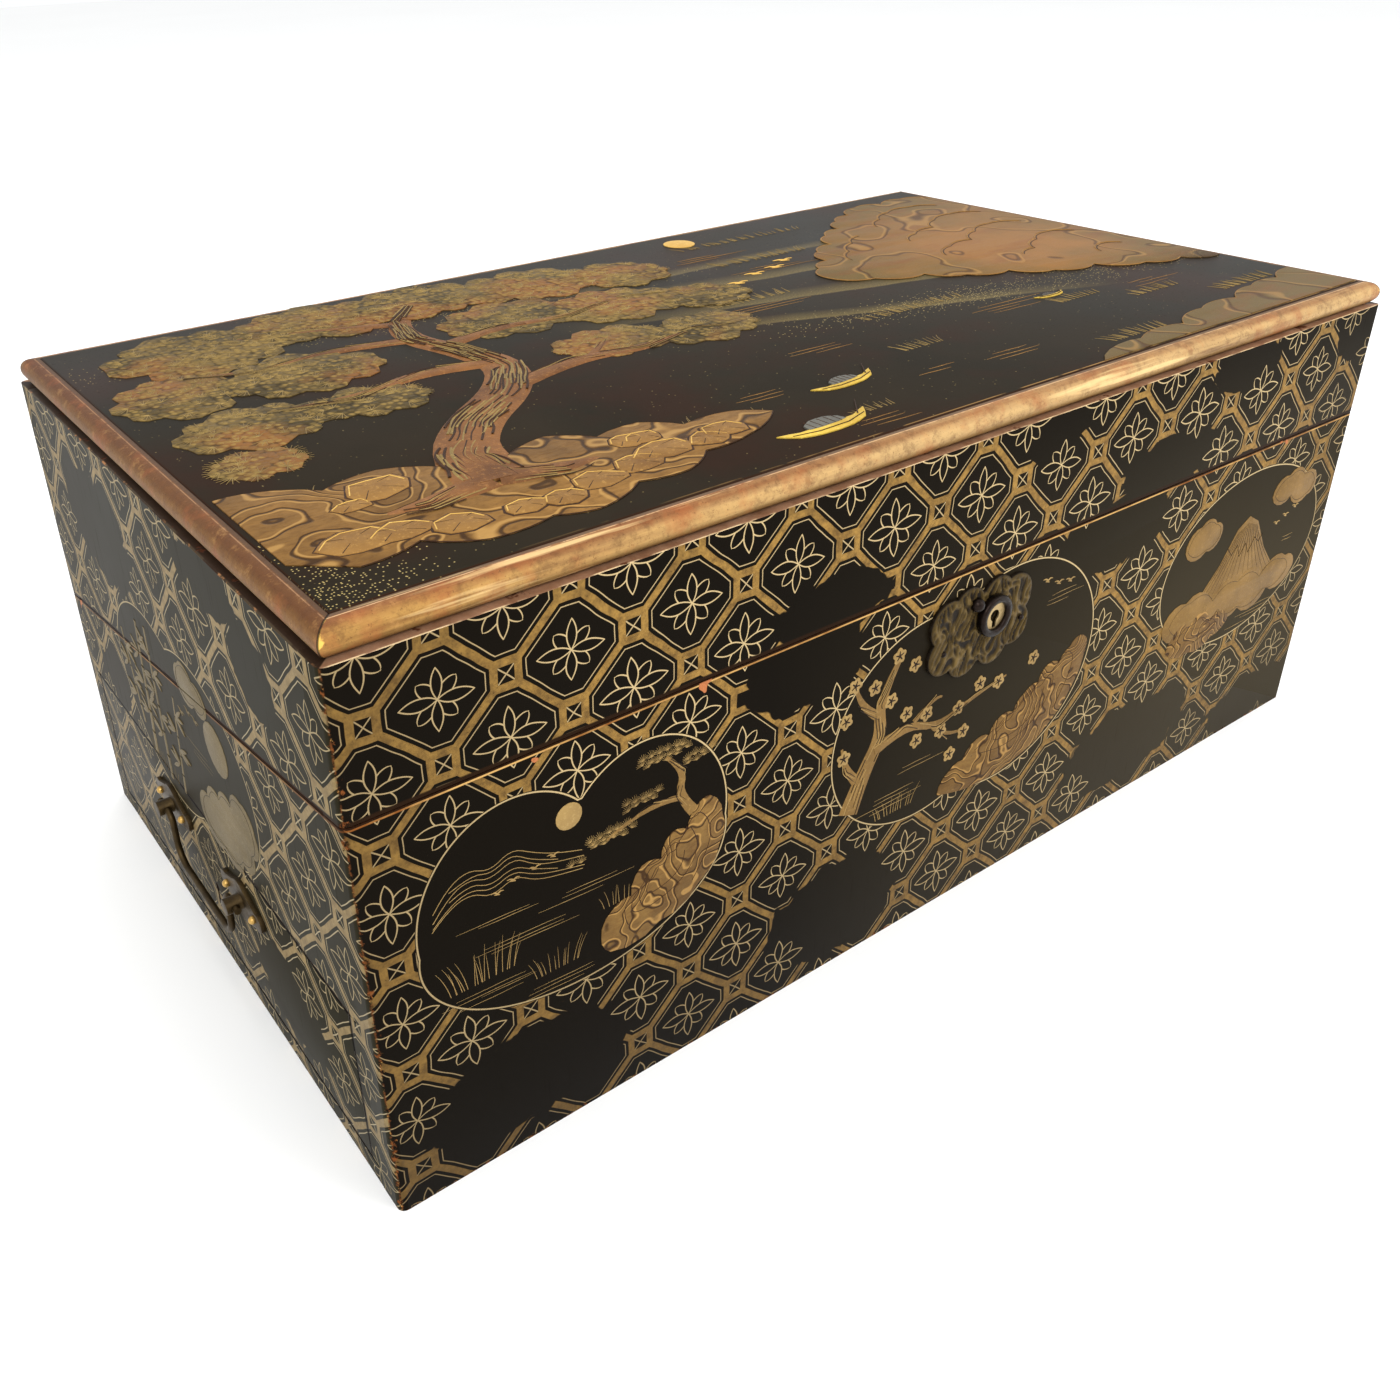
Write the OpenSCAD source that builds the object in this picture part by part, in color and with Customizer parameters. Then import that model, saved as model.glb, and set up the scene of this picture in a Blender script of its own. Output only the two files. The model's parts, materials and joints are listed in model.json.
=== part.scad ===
// Lacquered writing box with a sloping split. The upper half turns over on the back hinges
// and lies upside down behind the lower half, and the two inner leaves then make one long
// writing slope. Pens and ink stand at the high end, and a drawer slides out of the left end.
// Millimetres. The origin is the middle of the underside, and the lock faces -Y.

/* [Case] */
// Width of the case, end to end
case_w = 450; // [420:5:520]
// Depth of the case, front to back
case_d = 254; // [240:2:290]
// Height of the closed box
case_h = 190; // [184:1:205]
// Height of the lower half at the lock side
front_h = 137; // [132:1:142]
// Thickness of the walls
wall_t = 11; // [10.6:0.2:12]
// Radius of the upright corners
corner_r = 2.5; // [1:0.5:4]
// Gap between the shut halves
split_gap = 0.5; // [0.3:0.1:0.8]
// Thickness of the bottom board
bottom_t = 6; // [4:0.5:7]

/* [Top] */
// Thickness of the top panel
panel_t = 9; // [8.8:0.2:12]
// Distance of the panel's edge from the wall face
panel_inset = 7.2; // [6.8:0.2:9]
// Radius of the moulding's roll
mould_r = 4.3; // [3.5:0.1:4.4]
// Ledge of wall that shows outside the roll
mould_set = 1.1; // [0.6:0.1:1.5]

/* [Hinges] */
// Length of each hinge
hinge_len = 50; // [40:1:60]
// Distance of each hinge's middle from the end of the case
hinge_inset = 75; // [55:5:115]
// Thickness of a hinge plate
hinge_t = 1.2; // [0.8:0.1:1.5]
// Width of the plate let into the wall's edge
plate_w = 8; // [6:0.5:8.5]
// Radius of the knuckles
knuckle_r = 2.2; // [2:0.1:2.6]
// Radius of the hinge pins
pin_r = 1; // [0.8:0.1:1.2]

/* [Lock] */
// Distance of the keyhole from the middle of the front
lock_side = 5; // [-10:1:10]
// Height of the keyhole
key_h = 118; // [116:1:119]
// Width of the lock case
lock_w = 54; // [50:1:60]
// Wood left in front of the lock case
lock_wood = 4.1; // [3.5:0.1:4.1]
// Thickness of the lock case's metal
lock_shell = 0.8; // [0.6:0.1:0.8]
// Distance between the two eyes of the link plate
eye_pitch = 20; // [18:1:24]
// Depth of the eyes below the split
eye_drop = 8; // [7.6:0.1:8.4]
// Travel of the bolt
bolt_travel = 5; // [4:0.5:6]
// Thickness of the escutcheon
escutcheon_t = 1.2; // [0.8:0.1:1.6]
// Outer radius of the keyhole collar
collar_r = 7.5; // [6.5:0.5:8.5]
// Height of the keyhole collar
collar_h = 3.4; // [2.5:0.1:3.8]

/* [Inside] */
// Thickness of the writing leaves
leaf_t = 6; // [5.4:0.2:7]
// Depth of each leaf's face below the split
leaf_drop = 1; // [0.8:0.1:1.6]
// Thickness of the cloth let into a leaf
cloth_t = 0.8; // [0.6:0.1:1.2]
// Wooden border round the cloth
cloth_border = 13; // [10:1:20]
// Radius of the leaves' pivot pins
pivot_r = 1.5; // [1.2:0.1:1.8]
// Distance from the front wall to the pen divider
pen_w = 54; // [50:1:62]
// Thickness of the pen divider
divider_t = 6; // [4:0.5:8]
// Width of each ink well
well_w = 46; // [44:1:56]
// Thickness of the well dividers
well_t = 5; // [4:0.5:7]
// Height of the pen tray and the well dividers above the table
tray_top = 117; // [113:1:119]
// Thickness of the pen tray
tray_t = 14; // [13:0.5:18]
// Radius of the pen tray's trough
trough_r = 30; // [28:1:34]
// Depth of the pen tray's trough
trough_depth = 9.5; // [7:0.5:10]
// Thickness of the boards that carry the tray
rest_t = 4; // [3:0.5:6]
// Width of an ink bottle
bottle_w = 38; // [34:1:40]
// Height of a bottle's glass body
bottle_h = 32; // [28:1:34]

/* [Drawer] */
// Height of the rail below the drawer
rail_h = 8; // [7.5:0.5:10]
// Height of the drawer opening's top edge
apron_z = 65; // [62:0.5:66]
// Thickness of the dust board above the drawer
dust_t = 4; // [3:0.5:5]
// Width of the guide at the front
guide_front_w = 5; // [4:0.5:8]
// Width of the guide at the back
guide_back_w = 3; // [2:0.5:5]
// Width of the runners
runner_w = 14; // [10:1:20]
// Running clearance of the drawer
slide_gap = 0.3; // [0.3:0.1:0.6]
// Thickness of the drawer's sides and back
side_t = 6; // [5:0.5:8]
// Height of the drawer's sides below the opening's top
side_drop = 7; // [4:1:12]
// Thickness of the drawer's bottom
drawer_bottom_t = 4; // [3:0.5:5]
// Height of the drawer's keyhole
drawer_key_h = 33; // [31:1:35]
// Travel of the drawer lock's bolt
drawer_bolt_travel = 4; // [3:0.5:5]

/* [Handle] */
// Distance between the handle's posts
post_pitch = 64; // [56:1:76]
// Height of the handle's pivots
post_h = 50; // [48:1:53]
// Thickness of the handle plates
handle_t = 1.6; // [1:0.1:2]
// Length of a handle plate
handle_plate_w = 34; // [32:1:36]
// Radius of the posts
post_r = 2.8; // [2.6:0.1:3.2]
// Reach of the posts from the drawer front
post_reach = 7; // [6.6:0.2:8]
// Radius of the bail's wire
bail_r = 1.2; // [1:0.1:1.4]
// Drop of the bail below its pivots
bail_drop = 19; // [17:1:24]

/* [Hidden] */
$fn = 64;

// Small fits shared by many pieces
seat_gap = 0.3;
pin_play = 0.05;
cut = 1;

// Case
half_w = case_w / 2;
half_d = case_d / 2;
in_w = half_w - wall_t;
in_d = half_d - wall_t;
wall_top = case_h - panel_t;
half_gap = split_gap / 2;

// The hinge line lies at half the height, just clear of the back. The split runs from it
// up to the lock side, so the turned lid lies flush with the lower half.
hinge_out = knuckle_r + seat_gap;
hinge_y = half_d + hinge_out;
hinge_z = case_h / 2;
slope = atan((front_h - hinge_z) / (hinge_y + half_d));
function split_z(y) = hinge_z + (hinge_y - y) * tan(slope);
function rise(n) = n / cos(slope);

// Hinges
hinge_side = half_w - hinge_inset;
knuckles = 5;
knuckle_pitch = hinge_len / knuckles;
knuckle_side_gap = 0.1;
plate_end = hinge_out + plate_w;

// Lock
lock_y0 = -half_d + lock_wood;
lock_below_key = 9;
selvedge_t = 1.2;
selvedge_over = 4;
selvedge_front = 1.5;
eye_t = 1.6;
eye_w = 3.6;
lock_play = 0.3;
eye_y0 = lock_y0 + lock_shell + lock_play;
eye_y = eye_y0 + eye_w / 2;
eye_z = split_z(eye_y);
eye_back_way = 1.3;
link_over = 12;
prong_w = 1.4;
prong_h = 2.6;
prong_drop = 5;
prong_z = eye_z - prong_drop;
prong_rest = 0.5;
riser_w = 3;
bar_h = 3;
bar_gap = 1;
bar_z = eye_z - eye_drop - bar_gap;
lock_z0 = min(key_h - lock_below_key, bar_z - bar_h - lock_play - lock_shell);
keyhole_r = 2.1;
keyhole_slot_w = 1.6;
keyhole_slot_h = 5;
collar_bore_r = 4.8;

// Escutcheon lobes: sideways place, height and radius from the plate's middle
plate_side = -4;
plate_low = -3.6;
lobes = [[0, 0, 13], [8, 0, 13], [16, 6, 8.5], [17, -5, 7.5], [7, -9, 7.5], [7, 9, 7.5]];
ball_place = [-8.2, 6.2];
ball_r = 2.5;
nail_places = [[-18, -4], [20, -3]];
nail_r = 1.1;

// Leaves turn on pins at their back corners
pivot_y = in_d - leaf_t / 2 - seat_gap;
pivot_n = leaf_drop + leaf_t / 2;
base_pivot_z = split_z(pivot_y) - rise(pivot_n);
lid_pivot_z = split_z(pivot_y) + rise(pivot_n);
leaf_side_gap = 0.5;
leaf_w = 2 * (in_w - leaf_side_gap);
pen_y = -in_d + pen_w;
base_leaf_len = (pivot_y - pen_y) / cos(slope);
mouth_gap = 0.5;
lid_leaf_len = (pivot_y + in_d) / cos(slope) - mouth_gap - pivot_n * tan(slope);
pivot_pin_in = 6;
pivot_pin_out = 10;
stop_w = 5;
stop_h = 6;

// Pens and ink
floor_z = apron_z + dust_t;
well_x = in_w - well_w;
tray_gap = 0.3;
tray_end_t = 4;
tray_half_w = well_x - well_t - tray_gap;
tray_y = -in_d + pen_w / 2;
bottle_x = in_w - well_w / 2;
bottle_chamfer = 5;
neck_r = 9;
neck_h = 7;
neck_bore_r = 6.5;
glass_t = 5;
ink_r = bottle_w / 2 - glass_t;
cap_r = 11.5;
cap_h = 10;
cap_play = 0.3;

// Drawer
drawer_y0 = -in_d + guide_front_w + slide_gap;
drawer_y1 = in_d - guide_back_w - slide_gap;
drawer_mid = (drawer_y0 + drawer_y1) / 2;
drawer_z0 = rail_h + slide_gap;
drawer_z1 = apron_z - slide_gap;
drawer_end = in_w - slide_gap;
side_top = apron_z - side_drop;
bottom_lift = 1;
drawer_lock_w = 30;
drawer_lock_t = 6;
drawer_lock_below_key = 8;
drawer_lock_z0 = drawer_key_h - drawer_lock_below_key;
drawer_bolt_w = 12;
drawer_bolt_t = 3;
drawer_bolt_h = 14;
drawer_bolt_x = -in_w - drawer_lock_t / 2;
drawer_key_r = 1.6;
drawer_key_slot = 7;

// Handle
bail_x = -half_w - post_reach + post_r;
bail_arm = 6.5;
bail_stub = 4.5;
bail_bend = 3;
bail_corner = 8;
handle_lobe_r = 7.5;
handle_end_r = 3.2;
handle_nail_side = 11;
handle_nail_r = 1.4;

// Pieces drawn in the Y-Z plane and run along X
module along_x(x0, x1) {
  translate([x0, 0, 0]) rotate([90, 0, 90]) linear_extrude(x1 - x0) children();
}

// Section below the slope, from height z0 up to n beside the split
module under_slope(y0, y1, z0, n) {
  polygon([[y0, z0], [y1, z0], [y1, split_z(y1) + rise(n)], [y0, split_z(y0) + rise(n)]]);
}

// Section above the slope, from n beside the split up to height z1
module over_slope(y0, y1, n, z1) {
  polygon([[y0, split_z(y0) + rise(n)], [y1, split_z(y1) + rise(n)], [y1, z1], [y0, z1]]);
}

// Section of a strip that runs with the slope
module slope_band(y0, y1, n0, n1) {
  polygon([
    [y0, split_z(y0) + rise(n0)], [y1, split_z(y1) + rise(n0)],
    [y1, split_z(y1) + rise(n1)], [y0, split_z(y0) + rise(n1)]
  ]);
}

module box(low, high) {
  translate(low) cube(high - low);
}

// Outline of the case seen from above
module case_plan() {
  square([case_w - 2 * corner_r, case_d], center = true);
  square([case_w, case_d - 2 * corner_r], center = true);
  for (sx = [-1, 1], sy = [-1, 1])
    translate([sx * (half_w - corner_r), sy * (half_d - corner_r)]) circle(corner_r);
}

// A long wall with the rounded corners of the case
module long_wall() {
  intersection() {
    along_x(-half_w, half_w) children();
    linear_extrude(case_h) case_plan();
  }
}

// The frame of the hinge line: -Y runs down the split to the front, +Z stands square to it
module on_hinge_line() {
  translate([0, hinge_y, hinge_z]) rotate([-slope, 0, 0]) children();
}

// Seats of the hinge plates in a wall's edge; in_lid is 0 in the lower half and 1 in the lid
module hinge_seats(in_lid) {
  for (sx = [-1, 1])
    on_hinge_line() mirror([0, 0, in_lid])
      translate([sx * hinge_side - hinge_len / 2, -plate_end, -half_gap - hinge_t])
        cube([hinge_len, plate_end, 2 * hinge_t + split_gap]);
}

// The lower half's hinge has the odd knuckles, and the lid's has the even ones between them
module hinge_half(x, in_lid) {
  knuckle_w = knuckle_pitch - 2 * knuckle_side_gap;
  plate_n = -half_gap - hinge_t;
  on_hinge_line() mirror([0, 0, in_lid]) translate([x - hinge_len / 2, 0, 0]) difference() {
    union() {
      translate([0, -plate_end, plate_n]) cube([hinge_len, plate_w, hinge_t]);
      for (i = [in_lid:2:knuckles - 1])
        translate([i * knuckle_pitch + knuckle_side_gap, 0, 0]) {
          rotate([0, 90, 0]) cylinder(r = knuckle_r, h = knuckle_w);
          translate([0, -hinge_out - cut, plate_n]) cube([knuckle_w, hinge_out + cut, hinge_t]);
        }
    }
    translate([-cut, 0, 0]) rotate([0, 90, 0])
      cylinder(r = pin_r + pin_play, h = hinge_len + 2 * cut);
  }
}

// Keyhole: a round hole with a slot below it, pointing along Y
module keyhole(y0, y1, z, r, slot_w, slot_h) {
  translate([0, y1, z]) rotate([90, 0, 0]) cylinder(r = r, h = y1 - y0);
  box([-slot_w / 2, y0, z - slot_h], [slot_w / 2, y1, z]);
}

// Outside of the lock: case and selvedge
module lock_block(extra) {
  lock_half = lock_w / 2;
  along_x(lock_side - lock_half, lock_side + lock_half)
    under_slope(lock_y0, -in_d + extra, lock_z0, -half_gap + extra);
  along_x(lock_side - lock_half - selvedge_over, lock_side + lock_half + selvedge_over)
    slope_band(lock_y0 - selvedge_front, -in_d + extra, -half_gap - selvedge_t, -half_gap + extra);
}

module bottom_board() {
  color("#2a2622") box([-in_w, -in_d, 0], [in_w, in_d, bottom_t]);
}

module base_front_board() {
  color("#211f1b") difference() {
    long_wall() under_slope(-half_d, -in_d, 0, -half_gap);
    lock_block(cut);
    translate([lock_side, 0, 0])
      keyhole(-half_d - cut, lock_y0 + cut, key_h, keyhole_r, keyhole_slot_w, keyhole_slot_h);
  }
}

module base_back_board() {
  color("#211f1b") difference() {
    long_wall() under_slope(in_d, half_d, 0, -half_gap);
    hinge_seats(0);
  }
}

module pivot_holes(z, side) {
  translate([side * (in_w + pivot_pin_in), pivot_y, z]) rotate([0, -side * 90, 0])
    cylinder(r = pivot_r + pin_play, h = pivot_pin_in + cut);
}

module base_right_end() {
  color("#211f1b") difference() {
    along_x(in_w, half_w) under_slope(-in_d, in_d, 0, -half_gap);
    pivot_holes(base_pivot_z, 1);
  }
}

// The board above the drawer, with the mortise for the drawer's bolt
module base_left_apron() {
  mortise = [drawer_bolt_t, drawer_bolt_w, 2 * (drawer_bolt_travel + slide_gap)]
    + 2 * slide_gap * [1, 1, 0];
  color("#211f1b") difference() {
    along_x(-half_w, -in_w) under_slope(-in_d, in_d, apron_z, -half_gap);
    pivot_holes(base_pivot_z, -1);
    translate([drawer_bolt_x, drawer_mid, apron_z]) cube(mortise, center = true);
  }
}

module left_bottom_rail() {
  color("#211f1b") box([-half_w, -in_d, 0], [-in_w, in_d, rail_h]);
}

module dust_board() {
  color("#4a3423") box([-in_w, -in_d, apron_z], [in_w, in_d, floor_z]);
}

module drawer_runner_front() {
  color("#6b4b2f")
    box([-in_w, -in_d + guide_front_w, bottom_t], [in_w, -in_d + guide_front_w + runner_w, rail_h]);
}

module drawer_runner_back() {
  color("#6b4b2f")
    box([-in_w, in_d - guide_back_w - runner_w, bottom_t], [in_w, in_d - guide_back_w, rail_h]);
}

// A guide shows at the left end as the stile beside the drawer
module drawer_guide_front() {
  color("#2a2622") {
    box([-in_w, -in_d, bottom_t], [in_w, -in_d + guide_front_w, apron_z]);
    box([-half_w, -in_d, rail_h], [-in_w, -in_d + guide_front_w, apron_z]);
  }
}

module drawer_guide_back() {
  color("#2a2622") {
    box([-in_w, in_d - guide_back_w, bottom_t], [in_w, in_d, apron_z]);
    box([-half_w, in_d - guide_back_w, rail_h], [-in_w, in_d, apron_z]);
  }
}

// The lower leaf's front edge lies over this divider
module pen_divider() {
  color("#3a2b20") along_x(-in_w, in_w)
    under_slope(pen_y, pen_y + divider_t, floor_z, -leaf_drop - leaf_t - seat_gap);
}

module well_divider(x) {
  color("#3a2b20") box([x, -in_d, floor_z], [x + well_t, pen_y, tray_top]);
}

module well_divider_left() {
  well_divider(-well_x);
}

module well_divider_right() {
  well_divider(well_x - well_t);
}

module tray_rest(x) {
  color("#3a2b20") box([x, -in_d, floor_z], [x + rest_t, pen_y, tray_top - tray_t]);
}

module tray_rest_left() {
  tray_rest(-well_x + well_t);
}

module tray_rest_right() {
  tray_rest(well_x - well_t - rest_t);
}

module pen_tray() {
  color("#3a2b20") difference() {
    box([-tray_half_w, -in_d + tray_gap, tray_top - tray_t],
        [tray_half_w, pen_y - tray_gap, tray_top]);
    translate([-tray_half_w + tray_end_t, tray_y, tray_top + trough_r - trough_depth])
      rotate([0, 90, 0]) cylinder(r = trough_r, h = 2 * (tray_half_w - tray_end_t));
  }
}

module bottle_plan() {
  intersection() {
    square(bottle_w, center = true);
    rotate(45) square((bottle_w - bottle_chamfer) * sqrt(2), center = true);
  }
}

module ink_bottle(x) {
  color("#7d8f8a", 0.6) translate([x, tray_y, floor_z]) difference() {
    union() {
      linear_extrude(bottle_h) bottle_plan();
      cylinder(r = neck_r, h = bottle_h + neck_h);
    }
    translate([0, 0, glass_t]) cylinder(r = ink_r, h = bottle_h - 2 * glass_t);
    translate([0, 0, glass_t]) cylinder(r = neck_bore_r, h = bottle_h + neck_h);
  }
}

module ink_cap(x) {
  color("#a8843f") translate([x, tray_y, floor_z + bottle_h]) difference() {
    cylinder(r = cap_r, h = cap_h);
    translate([0, 0, -cut]) cylinder(r = neck_r + cap_play, h = neck_h + cap_play + cut);
  }
}

module ink_bottle_left() { ink_bottle(-bottle_x); }
module ink_bottle_right() { ink_bottle(bottle_x); }
module ink_cap_left() { ink_cap(-bottle_x); }
module ink_cap_right() { ink_cap(bottle_x); }

// Hollow lock case: the eyes drop through two slots in the selvedge
module lock_case() {
  inside_half = lock_w / 2 - lock_shell;
  slot_w = eye_t + 2 * lock_play;
  color("#a8843f") difference() {
    lock_block(0);
    along_x(lock_side - inside_half, lock_side + inside_half)
      under_slope(lock_y0 + lock_shell, -in_d - lock_shell, lock_z0 + lock_shell,
                  -half_gap - selvedge_t);
    for (s = [-1, 1])
      translate([lock_side + s * eye_pitch / 2, 0, 0])
        box([-slot_w / 2, eye_y0 - lock_play, eye_z - eye_drop],
            [slot_w / 2, eye_y0 + eye_w + eye_back_way, eye_z + eye_drop]);
    translate([lock_side, 0, 0])
      keyhole(lock_y0 - cut, lock_y0 + lock_shell + cut, key_h,
              keyhole_r, keyhole_slot_w, keyhole_slot_h);
  }
}

// Bar below the eyes, with two hooks whose prongs slide through them
module lock_bolt() {
  bar_x0 = -eye_pitch / 2 - eye_t / 2 - prong_rest - bolt_travel - riser_w;
  bar_w = eye_pitch + riser_w;
  bar_y0 = lock_y0 + lock_shell + lock_play;
  bar_y1 = -in_d - lock_shell - lock_play;
  color("#8a6c34") translate([lock_side, 0, 0]) {
    box([bar_x0, bar_y0, bar_z - bar_h], [bar_x0 + bar_w, bar_y1, bar_z]);
    for (i = [0, 1])
      translate([bar_x0 + i * eye_pitch, eye_y - prong_w / 2, 0]) {
        box([0, 0, bar_z - bar_h / 2], [riser_w, prong_w, prong_z + prong_h / 2]);
        box([riser_w / 2, 0, prong_z - prong_h / 2],
            [riser_w + bolt_travel, prong_w, prong_z + prong_h / 2]);
      }
  }
}

module escutcheon_plan() {
  for (l = lobes, sx = [-1, 1]) translate([sx * l[0], l[1]]) circle(l[2]);
}

module escutcheon() {
  color("#6b5f3a") translate([lock_side, 0, key_h]) difference() {
    translate([plate_side, -half_d, plate_low]) rotate([90, 0, 0])
      linear_extrude(escutcheon_t) escutcheon_plan();
    keyhole(-half_d - escutcheon_t - cut, -half_d + cut, 0,
            keyhole_r, keyhole_slot_w, keyhole_slot_h);
  }
}

module keyhole_collar() {
  color("#2b2118") translate([lock_side, -half_d - escutcheon_t, key_h]) rotate([90, 0, 0])
    difference() {
      cylinder(r = collar_r, h = collar_h);
      translate([0, 0, -cut]) cylinder(r = collar_bore_r, h = collar_h + 2 * cut);
    }
}

// Round heads standing on a plate whose face is at height 0
module dome(r) {
  bulge = 0.3;
  intersection() {
    translate([0, 0, r * bulge]) sphere(r);
    translate([-r, -r, 0]) cube([2 * r, 2 * r, 2 * r]);
  }
}

module escutcheon_studs() {
  color("#2b2118") translate([lock_side, -half_d - escutcheon_t, key_h]) rotate([90, 0, 0]) {
    translate([ball_place[0], ball_place[1], 0]) dome(ball_r);
    for (p = nail_places) translate([plate_side + p[0], plate_low + p[1], 0]) dome(nail_r);
  }
}

module hinge_base_left() {
  color("#a8843f") hinge_half(-hinge_side, 0);
}

module hinge_base_right() {
  color("#a8843f") hinge_half(hinge_side, 0);
}

module hinge_pins() {
  color("#8a6c34") for (sx = [-1, 1])
    translate([sx * hinge_side - hinge_len / 2, hinge_y, hinge_z]) rotate([0, 90, 0])
      cylinder(r = pin_r, h = hinge_len);
}

module leaf_pins(z) {
  color("#8a6c34") for (sx = [-1, 1])
    translate([sx * (in_w + pivot_pin_in), pivot_y, z]) rotate([0, -sx * 90, 0])
      cylinder(r = pivot_r, h = pivot_pin_in + pivot_pin_out);
}

module base_leaf_pins() {
  leaf_pins(base_pivot_z);
}

module lid_front_board() {
  color("#211f1b") difference() {
    long_wall() over_slope(-half_d, -in_d, half_gap, wall_top);
    link_block(cut);
  }
}

module lid_back_board() {
  color("#211f1b") difference() {
    long_wall() over_slope(in_d, half_d, half_gap, wall_top);
    hinge_seats(1);
  }
}

module lid_end(side) {
  color("#211f1b") difference() {
    along_x(min(side * in_w, side * half_w), max(side * in_w, side * half_w))
      over_slope(-in_d, in_d, half_gap, wall_top);
    pivot_holes(lid_pivot_z, side);
  }
}

module lid_left_end() { lid_end(-1); }
module lid_right_end() { lid_end(1); }

module lid_panel() {
  panel_half_w = half_w - panel_inset;
  panel_half_d = half_d - panel_inset;
  color("#2b2822")
    box([-panel_half_w, -panel_half_d, wall_top], [panel_half_w, panel_half_d, case_h]);
}

// Mitred roll moulding along one side of the lid; its outer face looks along -Y
module moulding(length) {
  inner = panel_inset;
  color("#a07040") intersection() {
    along_x(-length / 2, length / 2) {
      translate([mould_set + mould_r, wall_top + mould_r]) circle(mould_r);
      translate([mould_set + mould_r, wall_top])
        square([inner - mould_set - mould_r, 2 * mould_r]);
    }
    linear_extrude(case_h)
      polygon([[-length / 2, 0], [length / 2, 0], [length / 2 - inner, inner],
               [-length / 2 + inner, inner]]);
  }
}

module moulding_front() {
  translate([0, -half_d, 0]) moulding(case_w);
}

module moulding_back() {
  translate([0, half_d, 0]) rotate(180) moulding(case_w);
}

module moulding_left() {
  translate([-half_w, 0, 0]) rotate(-90) moulding(case_d);
}

module moulding_right() {
  translate([half_w, 0, 0]) rotate(90) moulding(case_d);
}

module hinge_lid_left() {
  color("#a8843f") hinge_half(-hinge_side, 1);
}

module hinge_lid_right() {
  color("#a8843f") hinge_half(hinge_side, 1);
}

// Plate let into the lid's lower edge above the lock
module link_block(extra) {
  link_half = eye_pitch / 2 + link_over;
  along_x(lock_side - link_half, lock_side + link_half)
    slope_band(lock_y0 - selvedge_front, -in_d - lock_shell, half_gap - extra,
               half_gap + selvedge_t);
}

// Two eyes hang from the plate into the lock
module link_plate() {
  color("#a8843f") {
    link_block(0);
    for (s = [-1, 1])
      translate([lock_side + s * eye_pitch / 2, 0, 0]) difference() {
        box([-eye_t / 2, eye_y0, eye_z - eye_drop],
            [eye_t / 2, eye_y0 + eye_w, eye_z + rise(half_gap + selvedge_t / 2)]);
        box([-eye_t, eye_y - prong_w / 2 - lock_play, prong_z - prong_h / 2 - lock_play],
            [eye_t, eye_y + prong_w / 2 + lock_play, prong_z + prong_h / 2 + lock_play]);
      }
  }
}

module lid_leaf_stop() {
  back = leaf_drop + leaf_t + seat_gap;
  color("#3a2b20") along_x(-in_w, in_w)
    slope_band(-in_d, -in_d + stop_w, back, back + stop_h);
}

module lid_leaf_pins() {
  leaf_pins(lid_pivot_z);
}

// Space of the cloth on a leaf whose pivot is at the origin and whose face looks up
module cloth_space(length, thickness) {
  translate([-leaf_w / 2 + cloth_border, -length + cloth_border, leaf_t / 2 - cloth_t])
    cube([leaf_w - 2 * cloth_border, length - 2 * cloth_border, thickness]);
}

module leaf(length) {
  difference() {
    union() {
      translate([-leaf_w / 2, -length, -leaf_t / 2]) cube([leaf_w, length, leaf_t]);
      translate([-leaf_w / 2, 0, 0]) rotate([0, 90, 0]) cylinder(d = leaf_t, h = leaf_w);
    }
    cloth_space(length, cloth_t + cut);
    for (sx = [-1, 1])
      translate([sx * (in_w - pivot_pin_out - seat_gap), 0, 0]) rotate([0, sx * 90, 0])
        cylinder(r = pivot_r + pin_play, h = pivot_pin_out + cut);
  }
}

module at_base_pivot() {
  translate([0, pivot_y, base_pivot_z]) rotate([-slope, 0, 0]) children();
}

module at_lid_pivot() {
  translate([0, pivot_y, lid_pivot_z]) rotate([-slope, 0, 0]) mirror([0, 0, 1]) children();
}

module base_leaf() {
  color("#3a2b20") at_base_pivot() leaf(base_leaf_len);
}

module base_leaf_cloth() {
  color("#3b2036") at_base_pivot() cloth_space(base_leaf_len, cloth_t);
}

module lid_leaf() {
  color("#3a2b20") at_lid_pivot() leaf(lid_leaf_len);
}

module lid_leaf_cloth() {
  color("#3b2036") at_lid_pivot() cloth_space(lid_leaf_len, cloth_t);
}

// Outside of the drawer's lock
module drawer_lock_block(extra) {
  box([-in_w - drawer_lock_t, drawer_mid - drawer_lock_w / 2, drawer_lock_z0],
      [-in_w + extra, drawer_mid + drawer_lock_w / 2, drawer_z1 + extra]);
}

// The drawer's keyhole points along X
module drawer_keyhole(x0, x1) {
  translate([x0, drawer_mid, drawer_key_h]) rotate([0, 90, 0])
    cylinder(r = drawer_key_r, h = x1 - x0);
  box([x0, drawer_mid - drawer_key_r / 2, drawer_key_h - drawer_key_slot],
      [x1, drawer_mid + drawer_key_r / 2, drawer_key_h]);
}

module drawer_front() {
  color("#211f1b") difference() {
    box([-half_w, drawer_y0, drawer_z0], [-in_w, drawer_y1, drawer_z1]);
    drawer_lock_block(cut);
    drawer_keyhole(-half_w - cut, -in_w - drawer_lock_t + cut);
  }
}

module drawer_side_front() {
  color("#7a5838") box([-in_w, drawer_y0, drawer_z0], [drawer_end, drawer_y0 + side_t, side_top]);
}

module drawer_side_back() {
  color("#7a5838") box([-in_w, drawer_y1 - side_t, drawer_z0], [drawer_end, drawer_y1, side_top]);
}

module drawer_back() {
  color("#7a5838")
    box([drawer_end - side_t, drawer_y0 + side_t, drawer_z0],
        [drawer_end, drawer_y1 - side_t, side_top]);
}

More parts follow.
